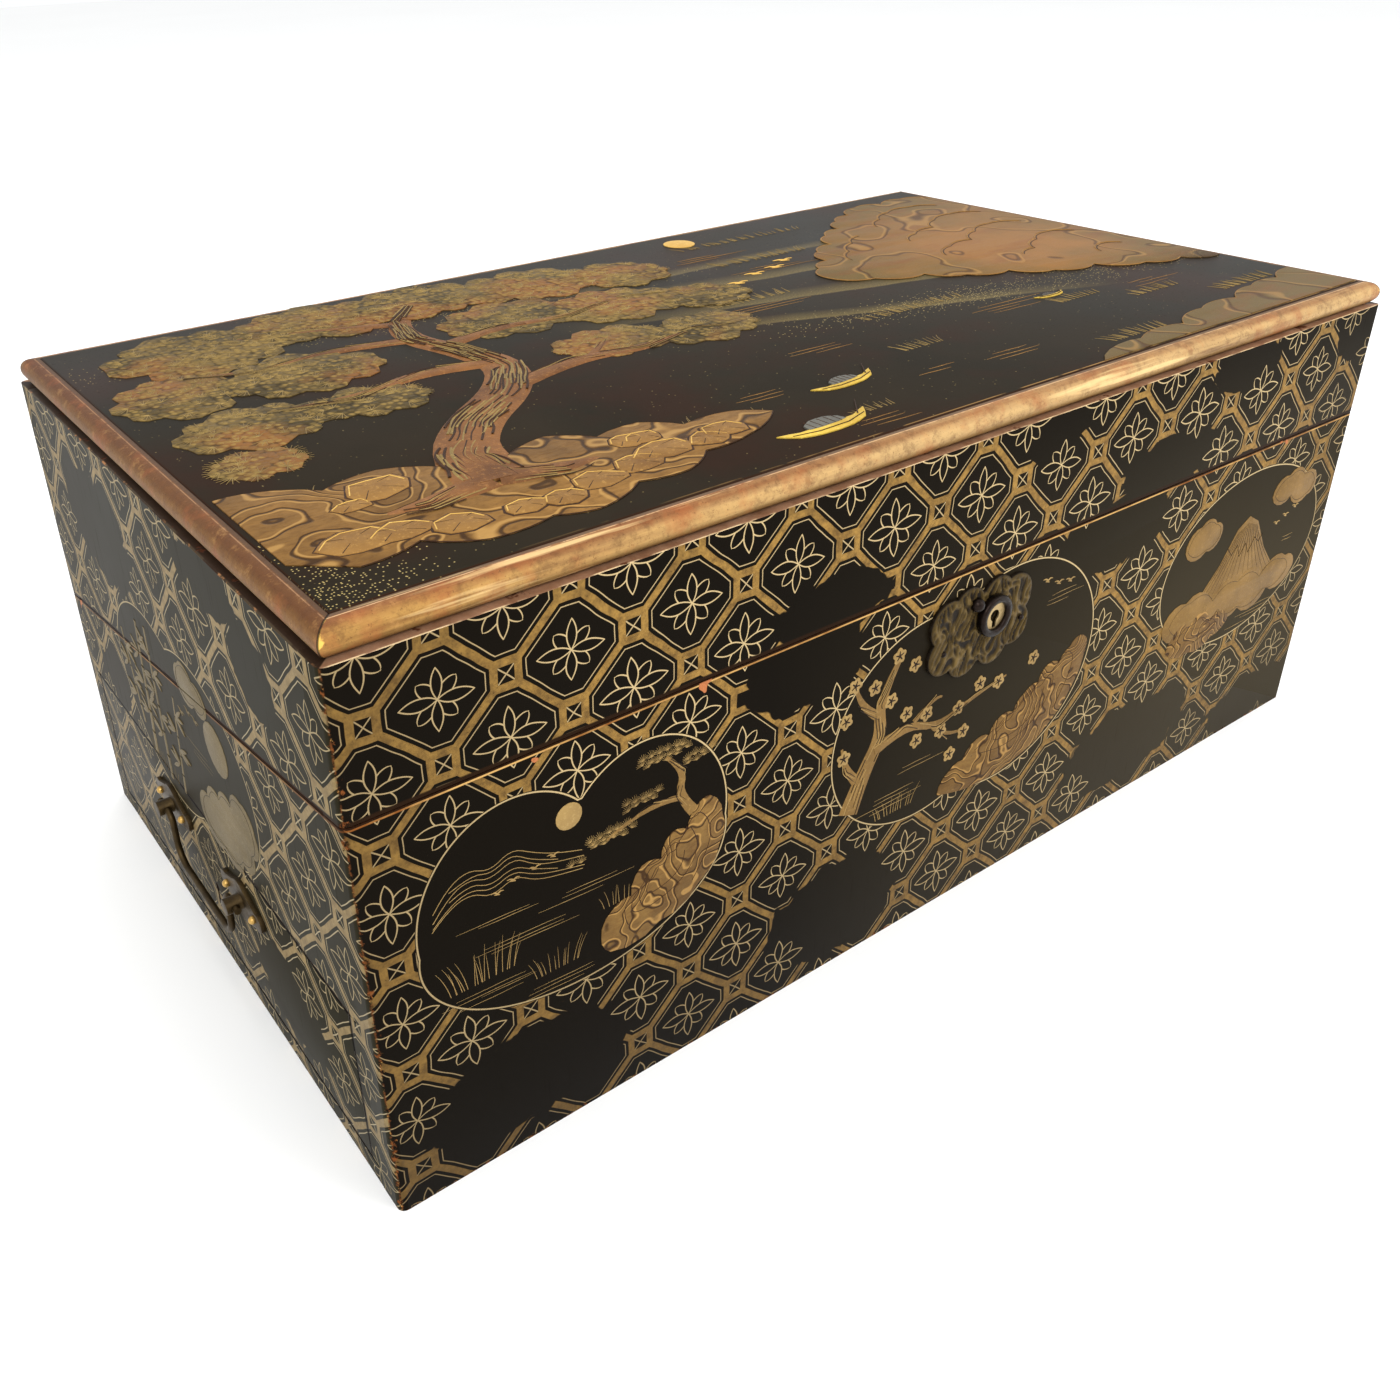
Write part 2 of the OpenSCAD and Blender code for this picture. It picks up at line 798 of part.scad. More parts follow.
module drawer_bottom() {
  low = drawer_z0 + bottom_lift;
  color("#7a5838")
    box([-in_w, drawer_y0 + side_t, low],
        [drawer_end - side_t, drawer_y1 - side_t, low + drawer_bottom_t]);
}

module drawer_bolt_space(play, drop) {
  box([drawer_bolt_x - drawer_bolt_t / 2 - play, drawer_mid - drawer_bolt_w / 2 - play,
       drawer_z1 - drawer_bolt_h - drop],
      [drawer_bolt_x + drawer_bolt_t / 2 + play, drawer_mid + drawer_bolt_w / 2 + play,
       drawer_z1 + play]);
}

module drawer_lock_case() {
  color("#a8843f") difference() {
    drawer_lock_block(0);
    drawer_bolt_space(slide_gap, drawer_lock_t);
    drawer_keyhole(-in_w - drawer_lock_t - cut, drawer_bolt_x + drawer_bolt_t / 2);
  }
}

module drawer_lock_bolt() {
  color("#8a6c34") drawer_bolt_space(0, 0);
}

// Handle plate with its post, drawn flat with the post standing up
module handle_plate_plan() {
  half = handle_plate_w / 2 - handle_end_r;
  waist = handle_end_r * 0.8;
  circle(handle_lobe_r);
  for (s = [-1, 1]) translate([s * half, 0]) circle(handle_end_r);
  polygon([[-half, waist], [0, handle_lobe_r], [half, waist], [half, -waist],
           [0, -handle_lobe_r], [-half, -waist]]);
}

module on_drawer_face(y, z) {
  translate([-half_w, y, z]) rotate([0, -90, 0]) rotate(90) children();
}

module handle_plate(side) {
  color("#5d5138") on_drawer_face(drawer_mid + side * post_pitch / 2, post_h) difference() {
    union() {
      linear_extrude(handle_t) handle_plate_plan();
      cylinder(r = post_r, h = post_reach);
    }
    translate([-2 * post_r, 0, post_reach - post_r]) rotate([0, 90, 0])
      cylinder(r = bail_r + pin_play, h = 4 * post_r);
  }
}

module handle_plate_front() { handle_plate(-1); }
module handle_plate_back() { handle_plate(1); }

module handle_nails() {
  color("#b08a45") for (s = [-1, 1], n = [-1, 1])
    on_drawer_face(drawer_mid + s * post_pitch / 2 + n * handle_nail_side, post_h)
      translate([0, 0, handle_t]) dome(handle_nail_r);
}

// A quarter ring in the plane of the bail, from the direction start on
module bail_quarter(radius, start) {
  rotate([90, 0, 90]) rotate(start) rotate_extrude(angle = 90)
    translate([radius, 0]) circle(bail_r);
}

// Wire bail: a stub through each post, an arm down from it and a bar across
module bail() {
  arm_y = post_pitch / 2 - bail_arm;
  stub_y = arm_y + bail_bend;
  bar_y = arm_y - bail_corner;
  color("#4a4030") translate([bail_x, drawer_mid, post_h]) {
    for (far = [0, 1]) mirror([0, far, 0]) {
      translate([0, stub_y, 0]) rotate([-90, 0, 0])
        cylinder(r = bail_r, h = post_pitch / 2 + bail_stub - stub_y);
      translate([0, stub_y, -bail_bend]) bail_quarter(bail_bend, 90);
      translate([0, arm_y, -bail_drop + bail_corner])
        cylinder(r = bail_r, h = bail_drop - bail_corner - bail_bend);
      translate([0, bar_y, -bail_drop + bail_corner]) bail_quarter(bail_corner, -90);
    }
    translate([0, -bar_y, -bail_drop]) rotate([-90, 0, 0]) cylinder(r = bail_r, h = 2 * bar_y);
  }
}

bottom_board();
base_front_board();
base_back_board();
base_right_end();
base_left_apron();
left_bottom_rail();
dust_board();
drawer_runner_front();
drawer_runner_back();
drawer_guide_front();
drawer_guide_back();
pen_divider();
well_divider_left();
well_divider_right();
tray_rest_left();
tray_rest_right();
pen_tray();
ink_bottle_left();
ink_bottle_right();
ink_cap_left();
ink_cap_right();
lock_case();
escutcheon();
keyhole_collar();
escutcheon_studs();
hinge_base_left();
hinge_base_right();
hinge_pins();
base_leaf_pins();
lock_bolt();
lid_front_board();
lid_back_board();
lid_left_end();
lid_right_end();
lid_panel();
moulding_front();
moulding_back();
moulding_left();
moulding_right();
hinge_lid_left();
hinge_lid_right();
link_plate();
lid_leaf_stop();
lid_leaf_pins();
base_leaf();
base_leaf_cloth();
lid_leaf();
lid_leaf_cloth();
drawer_front();
drawer_side_front();
drawer_side_back();
drawer_back();
drawer_bottom();
drawer_lock_case();
drawer_lock_bolt();
handle_plate_front();
handle_plate_back();
handle_nails();
bail();
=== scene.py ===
"""The looks of the lacquer writing box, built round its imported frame. Metres, in the frame's own axes."""
import json
import math
import random
from collections import namedtuple

import bmesh
import bpy
from mathutils import Euler, Matrix, Vector, noise

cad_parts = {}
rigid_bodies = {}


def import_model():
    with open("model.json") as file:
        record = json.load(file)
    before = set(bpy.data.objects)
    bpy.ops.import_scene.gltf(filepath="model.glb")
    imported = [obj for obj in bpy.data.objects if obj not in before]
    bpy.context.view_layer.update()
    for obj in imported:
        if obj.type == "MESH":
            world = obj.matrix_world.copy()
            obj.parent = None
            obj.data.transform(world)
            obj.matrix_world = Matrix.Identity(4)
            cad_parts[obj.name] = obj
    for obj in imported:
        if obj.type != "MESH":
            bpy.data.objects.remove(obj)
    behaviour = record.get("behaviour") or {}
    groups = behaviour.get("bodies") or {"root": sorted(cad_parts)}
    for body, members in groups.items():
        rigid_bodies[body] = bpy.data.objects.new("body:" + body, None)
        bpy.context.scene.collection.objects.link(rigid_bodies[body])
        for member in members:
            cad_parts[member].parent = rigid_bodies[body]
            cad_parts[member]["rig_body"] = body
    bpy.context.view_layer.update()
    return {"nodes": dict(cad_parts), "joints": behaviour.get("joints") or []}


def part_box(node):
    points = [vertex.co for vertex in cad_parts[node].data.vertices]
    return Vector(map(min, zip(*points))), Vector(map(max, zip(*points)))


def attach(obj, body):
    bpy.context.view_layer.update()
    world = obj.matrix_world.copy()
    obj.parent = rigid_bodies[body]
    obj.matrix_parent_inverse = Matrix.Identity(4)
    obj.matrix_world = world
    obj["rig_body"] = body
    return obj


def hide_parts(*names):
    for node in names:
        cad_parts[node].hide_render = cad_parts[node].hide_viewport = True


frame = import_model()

MM = 0.001
joints = {joint["name"]: joint for joint in frame["joints"]}

# Sizes taken from the frame, in millimetres
front_low, front_high = (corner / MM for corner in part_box("base_front_board"))
panel_low, panel_high = (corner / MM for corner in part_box("lid_panel"))
drawer_low, drawer_high = (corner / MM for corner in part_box("drawer_front"))
half_w = front_high.x
half_d = -front_low.y
wall_t = front_high.y - front_low.y
top_z = panel_high.z
wall_top = panel_low.z
hinge_y, hinge_z = (value / MM for value in joints["lid_hinge"]["pos_m"][1:])
split_gap = 0.5
front_split = front_high.z + split_gap / 2
split_rise = (front_split - hinge_z) / (hinge_y + half_d)
split_angle = math.atan(split_rise)

# The brown that shows where the black has gone
BROWN_BLACK = (19, 13, 8)


def srgb(red, green, blue):
    """A colour given in 0 to 255 as the shader's own numbers."""
    values = []
    for value in (red, green, blue):
        share = value / 255
        values.append(share / 12.92 if share < 0.04045 else ((share + 0.055) / 1.055) ** 2.4)
    return (*values, 1.0)


# Shader sums
class Field:
    """A number that varies over a surface. Sums on it add Math nodes to its paint."""

    def __init__(self, paint, socket):
        self.paint = paint
        self.socket = socket

    def __add__(self, other):
        return self.paint.maths("ADD", self, other)

    def __radd__(self, other):
        return self.paint.maths("ADD", other, self)

    def __sub__(self, other):
        return self.paint.maths("SUBTRACT", self, other)

    def __rsub__(self, other):
        return self.paint.maths("SUBTRACT", other, self)

    def __mul__(self, other):
        return self.paint.maths("MULTIPLY", self, other)

    def __rmul__(self, other):
        return self.paint.maths("MULTIPLY", other, self)

    def __truediv__(self, other):
        return self.paint.maths("DIVIDE", self, other)

    def __rtruediv__(self, other):
        return self.paint.maths("DIVIDE", other, self)

    def __abs__(self):
        return self.paint.maths("ABSOLUTE", self)

    def smaller(self, other):
        return self.paint.maths("MINIMUM", self, other)

    def larger(self, other):
        return self.paint.maths("MAXIMUM", self, other)

    def within(self, soft=0.12):
        """1 where the number is below nought and 0 above, over a soft edge."""
        return self.paint.node("Math", {"operation": "MULTIPLY_ADD", "use_clamp": True},
                               {0: self, 1: -1 / soft, 2: 0.5})

    def over(self, low, high):
        """From 0 at low to 1 at high."""
        return self.paint.node("MapRange", None, {"Value": self, "From Min": low, "From Max": high})


class Paint:
    """One material. Its node method makes every node, and Field does the sums."""

    def __init__(self, name, **constants):
        self.material = bpy.data.materials.new(name)
        self.material.use_nodes = True
        self.tree = self.material.node_tree
        self.shader = self.tree.nodes["Principled BSDF"]
        for socket, value in constants.items():
            self.feed(self.shader.inputs[socket.replace("_", " ")], value)
        self.place = self.node("VectorMath", {"operation": "SCALE"},
                               {0: self.node("TexCoord", output="Object"), "Scale": 1 / MM})
        self.x, self.y, self.z = (
            self.node("SeparateXYZ", None, {0: self.place}, axis) for axis in "XYZ")

    def node(self, kind, settings=None, inputs=None, output=0):
        """A node of that kind, with its settings made first and then its sockets, as a Field."""
        made = self.tree.nodes.new("ShaderNode" + kind)
        for name, value in (settings or {}).items():
            setattr(made, name, value)
        for slot, value in (inputs or {}).items():
            self.feed(made.inputs[slot], value)
        return Field(self, made.outputs[output])

    def feed(self, socket, value):
        """Links a Field to a socket or sets a value on it; colours are given in 0 to 255."""
        if isinstance(value, Field):
            self.tree.links.new(value.socket, socket)
        elif socket.type == "RGBA":
            socket.default_value = srgb(*value)
        else:
            socket.default_value = value

    def maths(self, operation, *values):
        return self.node("Math", {"operation": operation}, dict(enumerate(values)))

    def vector_maths(self, operation, *values, output=0):
        return self.node("VectorMath", {"operation": operation}, dict(enumerate(values)), output)

    def vector(self, x, y):
        return self.node("CombineXYZ", None, {0: x, 1: y})

    def blend(self, factor, low, high):
        """The colour low where factor is 0 and high where it is 1."""
        return self.node("Mix", {"data_type": "RGBA"}, {0: factor, 6: low, 7: high}, 2)

    def coats(self, colour, *coats):
        """Lays coats over a colour, each given as how much of it shows and its own colour."""
        for shown, coat in coats:
            colour = self.blend(shown, colour, coat)
        return colour

    def cells(self, scale, output="Distance"):
        """Cells in the plane of the lid, scale to a millimetre."""
        return self.node("TexVoronoi", {"voronoi_dimensions": "2D"},
                         {"Vector": self.place, "Scale": scale}, output)

    def cell_chance(self, scale):
        """A chance number from 0 to 1 for each of those cells."""
        return self.node("SeparateColor", None, {0: self.cells(scale, "Color")})

    def noise(self, scale, detail=3.0, rough=0.55, stretch=None):
        """Noise between 0 and 1; scale is in turns to a millimetre."""
        place = self.vector_maths("MULTIPLY", self.place, stretch) if stretch else self.place
        return self.node("TexNoise", None,
                         {"Vector": place, "Scale": scale, "Detail": detail, "Roughness": rough})

    def finish(self, **sockets):
        """Feeds the shader. A height in millimetres becomes its bump."""
        height = sockets.pop("height", None)
        if height:
            sockets["Normal"] = self.node("Bump", None,
                                          {"Height": height, "Distance": MM, "Strength": 1.0})
        for socket, value in sockets.items():
            self.feed(self.shader.inputs[socket.replace("_", " ")], value)
        return self.material


# A wall's colours: ground, painted sheen on it (haze), bands, fine lines, flowers and split edge; and its
# gloss
Tones = namedtuple("Tones", "ground haze band line flower edge gloss")
FRONT_TONES = Tones(
    ground=((14, 11, 7), (20, 16, 11)), haze=(50, 43, 29), band=((150, 116, 60), (100, 76, 42)),
    line=(170, 149, 110), flower=(182, 160, 118), edge=((190, 150, 90), (120, 72, 32)), gloss=0.013)
# The left end's tones with its light painted in: painted sheen makes its ground paler and its gold greyer,
# and painted shade darkens its split edge
PAINTED_LIGHT_END_TONES = Tones(
    ground=((32, 31, 20), (40, 34, 22)), haze=(40, 34, 22), band=((142, 122, 84), (112, 94, 64)),
    line=(156, 142, 112), flower=(150, 134, 100), edge=((134, 96, 52), (84, 50, 24)), gloss=0.013)

# Places on the walls that the lattice leaves bare, and the ovals that the pictures' frames join.
# Each oval is its middle across and up and its half width and height, in millimetres.
FRONT_BARE = [
    (-66, 144, 24, 10), (98, 147, 28, 11), (28, 175, 17, 9), (137, 174, 20, 9), (214, 172, 17, 11),
    (-76, 126, 25, 13), (72, 128, 32, 14), (-178, 26, 35, 18), (-57, 24, 31, 20), (103, 26, 40, 18),
    (202, 9, 38, 14),
]
LEFT_BARE = [
    (57, 149, 33, 20), (-51, 172, 23, 9), (-79, 157, 14, 14), (-61, 30, 27, 18), (84, 76, 16, 11),
]
BACK_BARE = [
    (-150, 60, 44, 18), (-40, 120, 36, 20), (96, 48, 40, 20), (180, 134, 30, 16), (20, 20, 30, 14),
    (-190, 150, 24, 14), (70, 168, 34, 12),
]
RIGHT_BARE = [(-66, 40, 30, 18), (60, 150, 32, 18), (-70, 150, 24, 14), (78, 30, 26, 16)]
HEART = [(-180, 92, 30, 33.7), (-136.5, 92, 30, 33.7), (-158.3, 84, 51.8, 32)]
LOBED = [(-20, 86, 43, 39), (20, 88, 47, 43)]
ROUND = [(162, 90.5, 53, 37)]
LEFT_OVAL = [(-17, 96, 42, 35), (23, 94, 42, 37)]
RIGHT_OVAL = [(-18, 92, 42, 36), (20, 96, 44, 36)]


def oval_reach(paint, wall, oval):
    """The place in shares of the oval's half sizes, and its length: 1 on the oval's edge."""
    across, up, half_across, half_up = oval
    share = paint.vector_maths("MULTIPLY_ADD", wall, (1 / half_across, 1 / half_up, 0),
                               (-across / half_across, -up / half_up, 0))
    return share, paint.vector_maths("LENGTH", share, output="Value")


def bare_reach(paint, wall, ovals):
    """Below nought in the places that the lattice leaves bare."""
    reach = None
    for oval in ovals:
        length = oval_reach(paint, wall, oval)[1]
        reach = length if reach is None else reach.smaller(length)
    return reach - 1.0


def frame_distance(paint, wall, ovals):
    """Millimetres to the edge of a shape joined of ovals, negative inside it."""
    nearest = None
    for oval in ovals:
        share, length = oval_reach(paint, wall, oval)
        lean = paint.vector_maths("MULTIPLY", share, (1 / oval[2], 1 / oval[3], 0))
        steepness = paint.vector_maths("LENGTH", lean, output="Value")
        distance = (length - 1) * length / steepness
        nearest = distance if nearest is None else nearest.smaller(distance)
    return nearest


# The lattice, in millimetres: half widths of its gold, and of its lines and how far they stand off it;
# and its petals, each as its length and half its width
LATTICE_BAND = 1.12
LATTICE_SQUARE = 2.35
LATTICE_FRAME = 4.7
LINE_GAP = 1.2
LINE_HALF = 0.17
CROSS_HALF = 0.2
PETAL_LINE = 0.225
LONG_PETAL = (10.6, 1.75)
HIGH_PETAL = (9.2, 1.6)
SLANT_PETAL = (7.8, 1.9)


def lattice(paint, across, start, pitch, bare):
    """The octagon lattice of one wall: its gold bands, its fine lines and its flowers."""
    wobble = paint.noise(0.09, 1.0)
    across = across + (wobble - 0.5) * 1.1
    up = paint.z + (wobble - 0.5) * 0.9
    column = (across - start[0]) / pitch[0]
    row = (up - start[1]) / pitch[1]
    rising = off_centre((column + row) * 0.5)
    falling = off_centre((column - row) * 0.5)
    side = (rising + falling) * pitch[0]
    lift = (rising - falling) * pitch[1]
    centre = paint.vector(across - side, up - lift)
    diagonal = 1 / math.hypot(1 / pitch[0], 1 / pitch[1])
    band = (1 - abs(rising).larger(abs(falling)) * 2) * diagonal
    square = (pitch[0] - abs(side)).larger(abs(lift))
    square = square.smaller(abs(side).larger(pitch[1] - abs(lift)))
    gold = (band - LATTICE_BAND).smaller(square - LATTICE_FRAME)
    in_square = (square - LATTICE_SQUARE).within()
    ragged = paint.noise(0.16, 1.0) * 0.5 - 0.25
    open_wall = bare_reach(paint, paint.vector(across, up), bare) + ragged
    bands = gold.within() * (1 - in_square) * (0.0 - open_wall).within(0.03)
    fine = (abs(gold - LINE_GAP) - LINE_HALF).within()
    cross = (abs(band) - CROSS_HALF).within() * in_square
    lines = fine.larger(cross) * (0.05 - open_wall).within(0.03)
    hand = drawn_by_hand(paint, centre)
    petals = flower(side + lift * hand * 0.16, lift - side * hand * 0.16, 1 + hand * 0.12)
    return bands, lines, petals * (-0.06 - bare_reach(paint, centre, bare)).within(0.02)


def off_centre(count):
    """How far a count of cells is from the nearest whole one."""
    return count - count.paint.maths("ROUND", count)


def drawn_by_hand(paint, centre):
    """A chance number for each cell, from -0.5 to 0.5."""
    corner = paint.vector_maths("SNAP", centre, (4.0, 4.0, 4.0))
    return paint.node("TexWhiteNoise", {"noise_dimensions": "2D"}, {"Vector": corner}) - 0.5


def flower(side, lift, growth):
    """The lines of eight petals: four long ones and, behind them, four that slant."""
    side = abs(side) / growth
    lift = abs(lift) / growth
    slant_along = (side + lift) * math.sqrt(0.5)
    slant_aside = abs(side - lift) * math.sqrt(0.5)
    level = petal(side, LONG_PETAL)
    upright = petal(lift, HIGH_PETAL)
    level_line = petal_line(side, lift, level, LONG_PETAL)
    upright_line = petal_line(lift, side, upright, HIGH_PETAL)
    slant_line = petal_line(slant_along, slant_aside, blunt_petal(slant_along, SLANT_PETAL), SLANT_PETAL)
    behind = (level - lift).within() * (upright - side).within()
    return level_line.larger(upright_line).larger(slant_line * behind)


def petal_line(along, aside, half, size):
    """The line round a petal that is half wide at that distance along it."""
    return (abs(aside - half) - PETAL_LINE).within() * (along - size[0] - 0.2).within()


def framed(paint, wall, pattern, pictures):
    """A wall's pattern left out of its pictures, with the line round each picture added to the petals."""
    bands, lines, petals = pattern
    for picture in pictures:
        distance = frame_distance(paint, wall, picture)
        outside = (0.5 - distance).within()
        bands = bands * outside
        lines = lines * outside
        petals = (petals * outside).larger((abs(distance) - 0.26).within())
    return bands, lines, petals


def petal(along, size):
    """Half the width of a pointed petal at a distance from the flower's middle."""
    share = along / size[0]
    return share * (1 - share) * 4 * size[1]


def blunt_petal(along, size):
    """The same for a petal with a fuller tip."""
    share = (along / size[0]).smaller(1.0)
    fullness = share.paint.maths("POWER", share * (1 - share) * 4, 0.6)
    return fullness * size[1]


def lacquer_ground(paint):
    """Roughness, height and cloudiness of polished lacquer that has been handled for a long time."""
    cloud = paint.noise(0.012, 4.0)
    scuffs = paint.noise(0.9, 2.0, stretch=(1.0, 1.0, 0.06)).over(0.62, 0.75)
    rough = 0.3 + cloud * 0.14 + scuffs * 0.08
    height = paint.noise(0.05, 2.0) * 0.03
    return rough, height, cloud


def drawer_gap_shadow(paint, across, low, high):
    """A dark line round a drawer's front: painted shadow in the gap between it and the end."""
    middle = (low + high) / 2
    half = (high - low) / 2
    reach = (abs(across - middle.y) - half.y).larger(abs(paint.z - middle.z) - half.z)
    return (abs(reach) - 1.0).within(0.4)


def wall_lacquer(name, axis, start, bare, pictures, near_end, tones=FRONT_TONES, drawer=None):
    """Black lacquer with the gold lattice and painted light: shadow at the split and drawer, sheen, falloff
    shade; axis is the wall's own direction, near_end its worn end.
    """
    paint = Paint(name, Specular_IOR_Level=tones.gloss)
    if axis == "x":
        across, end, pitch, split = paint.x, half_w, (19.2, 18.6), front_split
    else:
        across, end, pitch = paint.y, half_d, (19.3, 18.9)
        split = (hinge_y - paint.y) * split_rise + hinge_z
    pattern = lattice(paint, across, start, pitch, bare)
    bands, lines, petals = framed(paint, paint.vector(across, paint.z), pattern, pictures)
    rough, height, cloud = lacquer_ground(paint)
    over_split = paint.z - split
    # Painted shadow along the split: a dark strip over the gap and the lid's lower edge, with no gold in it
    shade = (abs(over_split - 0.35) - 1.05).within(0.5)
    mottle = paint.noise(0.35, 4.0, rough=0.7)
    worn = paint.noise(1.4, 3.0, rough=0.7)
    gold = paint.coats(paint.blend(mottle.over(0.34, 0.66), *tones.band), (lines, tones.line),
                       (petals, tones.flower))
    # Painted shade: the gold darker where the light falls off along a long wall
    if axis == "x":
        gold = paint.blend(painted_falloff_shade(across, paint.z), gold, (70, 53, 30))
    handled = across.over(40, 200) * paint.z.over(90, 20) * mottle.over(0.3, 0.7)
    gilt = bands.larger(lines).larger(petals) * (worn - 0.72).within(0.1) * (1 - shade)
    gilt = gilt * (1 - handled * 0.6)
    # Painted sheen: the ground lighter towards the right and the top, as the lacquer reflects the room there
    haze = across.over(-90, 130) * paint.z.over(195, 80)
    # Painted shadow in the gap round the drawer's front
    gap_shadow = [(drawer_gap_shadow(paint, across, *drawer) * 0.9, (10, 7, 4))] if drawer else []
    wear = worn_ends(paint, near_end * across + end, 2 * end)
    chips = chipped(paint, over_split + 2.5)
    colour = paint.coats(
        paint.blend(cloud, *tones.ground), (haze, tones.haze), (gilt, gold), (shade * 0.8, (38, 23, 12)),
        split_edge(paint, over_split, tones), *gap_shadow, (wear * 0.9, rust(paint)), (chips, (166, 102, 64)))
    return paint.finish(Base_Color=colour, Roughness=rough + gilt * 0.1 + wear * 0.2,
                        Metallic=gilt * (1 - wear) * 0.35,
                        height=height + gilt * 0.06 + worn * gilt * 0.05 - chips * 0.15 - wear * 0.1)


def painted_falloff_shade(across, up):
    """Painted shade on a long wall's gold, where the light falls off: towards both ends and low down on the
    left.
    """
    ends = (across.over(-150, -225) * 0.5).larger(across.over(170, 225) * 0.35)
    return ends.larger(up.over(115, 15) * across.over(80, -170) * 0.65)


def split_edge(paint, over_split, tones):
    """The thin bright line along the split, as a coat."""
    line = (abs(over_split + 0.95) - 0.26).within(0.2) * paint.noise(0.05, 3.0).over(0.26, 0.36)
    return line, paint.blend(paint.noise(0.03, 4.0, rough=0.7).over(0.42, 0.6), *tones.edge)


def rust(paint):
    """What shows where the black has gone: brown ground with red and a few gold flecks in it."""
    fleck = paint.noise(0.9, 4.0, rough=0.75).over(0.6, 0.65)
    return paint.coats(BROWN_BLACK, (paint.noise(0.8, 3.0).over(0.45, 0.6), (116, 66, 32)),
                       (fleck, (214, 158, 84)))


def worn_ends(paint, from_end, width):
    """Where a wall has lost its black: at its near end, its foot and, a little, its far end."""
    wear = corner_rubs(paint, from_end, 6.5).larger(corner_rubs(paint, paint.z, 3.2))
    wear = wear.larger(corner_rubs(paint, width - from_end, 1.6))
    return wear.larger((from_end - 0.8).within(0.6))


def corner_rubs(paint, distance, reach):
    """Where a rubbed arris has lost its black, up to about reach millimetres in."""
    ragged = paint.noise(0.22, 5.0, rough=0.7) * 2.1 * reach - reach
    return (distance - ragged).within(0.6)


def chipped(paint, near_split):
    """Small chips in the black just below the split."""
    spots = paint.noise(0.075, 2.0, rough=0.6).over(0.7, 0.705)
    return spots * (abs(near_split) - 2.2).within(0.5)


def plain_lacquer(name, colour, glow, roughness):
    """Plain lacquer over wood, its grain just telling through it."""
    paint = Paint(name, Specular_IOR_Level=0.2)
    grain = paint.noise(0.5, 4.0, stretch=(0.05, 1.0, 1.0), rough=0.6)
    tone = paint.coats(colour, (paint.noise(0.02, 3.0).over(0.3, 0.7), glow),
                       (grain.over(0.55, 0.8) * 0.35, BROWN_BLACK))
    return paint.finish(Base_Color=tone, Roughness=roughness + grain * 0.16,
                        height=grain * 0.05 + paint.noise(0.04, 2.0) * 0.1)


def bare_wood(name):
    """Softwood that has been left bare and has darkened."""
    paint = Paint(name, Specular_IOR_Level=0.3)
    waves = paint.noise(0.03, 2.0, stretch=(0.15, 1.0, 1.0))
    rings = paint.noise(0.42, 4.0, stretch=(0.02, 1.0, 1.0), rough=0.6)
    fibre = paint.noise(2.2, 2.0, stretch=(0.03, 1.0, 1.0))
    tone = paint.coats((150, 110, 68), (rings.over(0.35, 0.65), (112, 76, 42)),
                       (waves.over(0.3, 0.7) * 0.5, (96, 64, 38)))
    return paint.finish(Base_Color=tone, Roughness=0.62 + fibre * 0.15,
                        height=rings * 0.08 + fibre * 0.06)


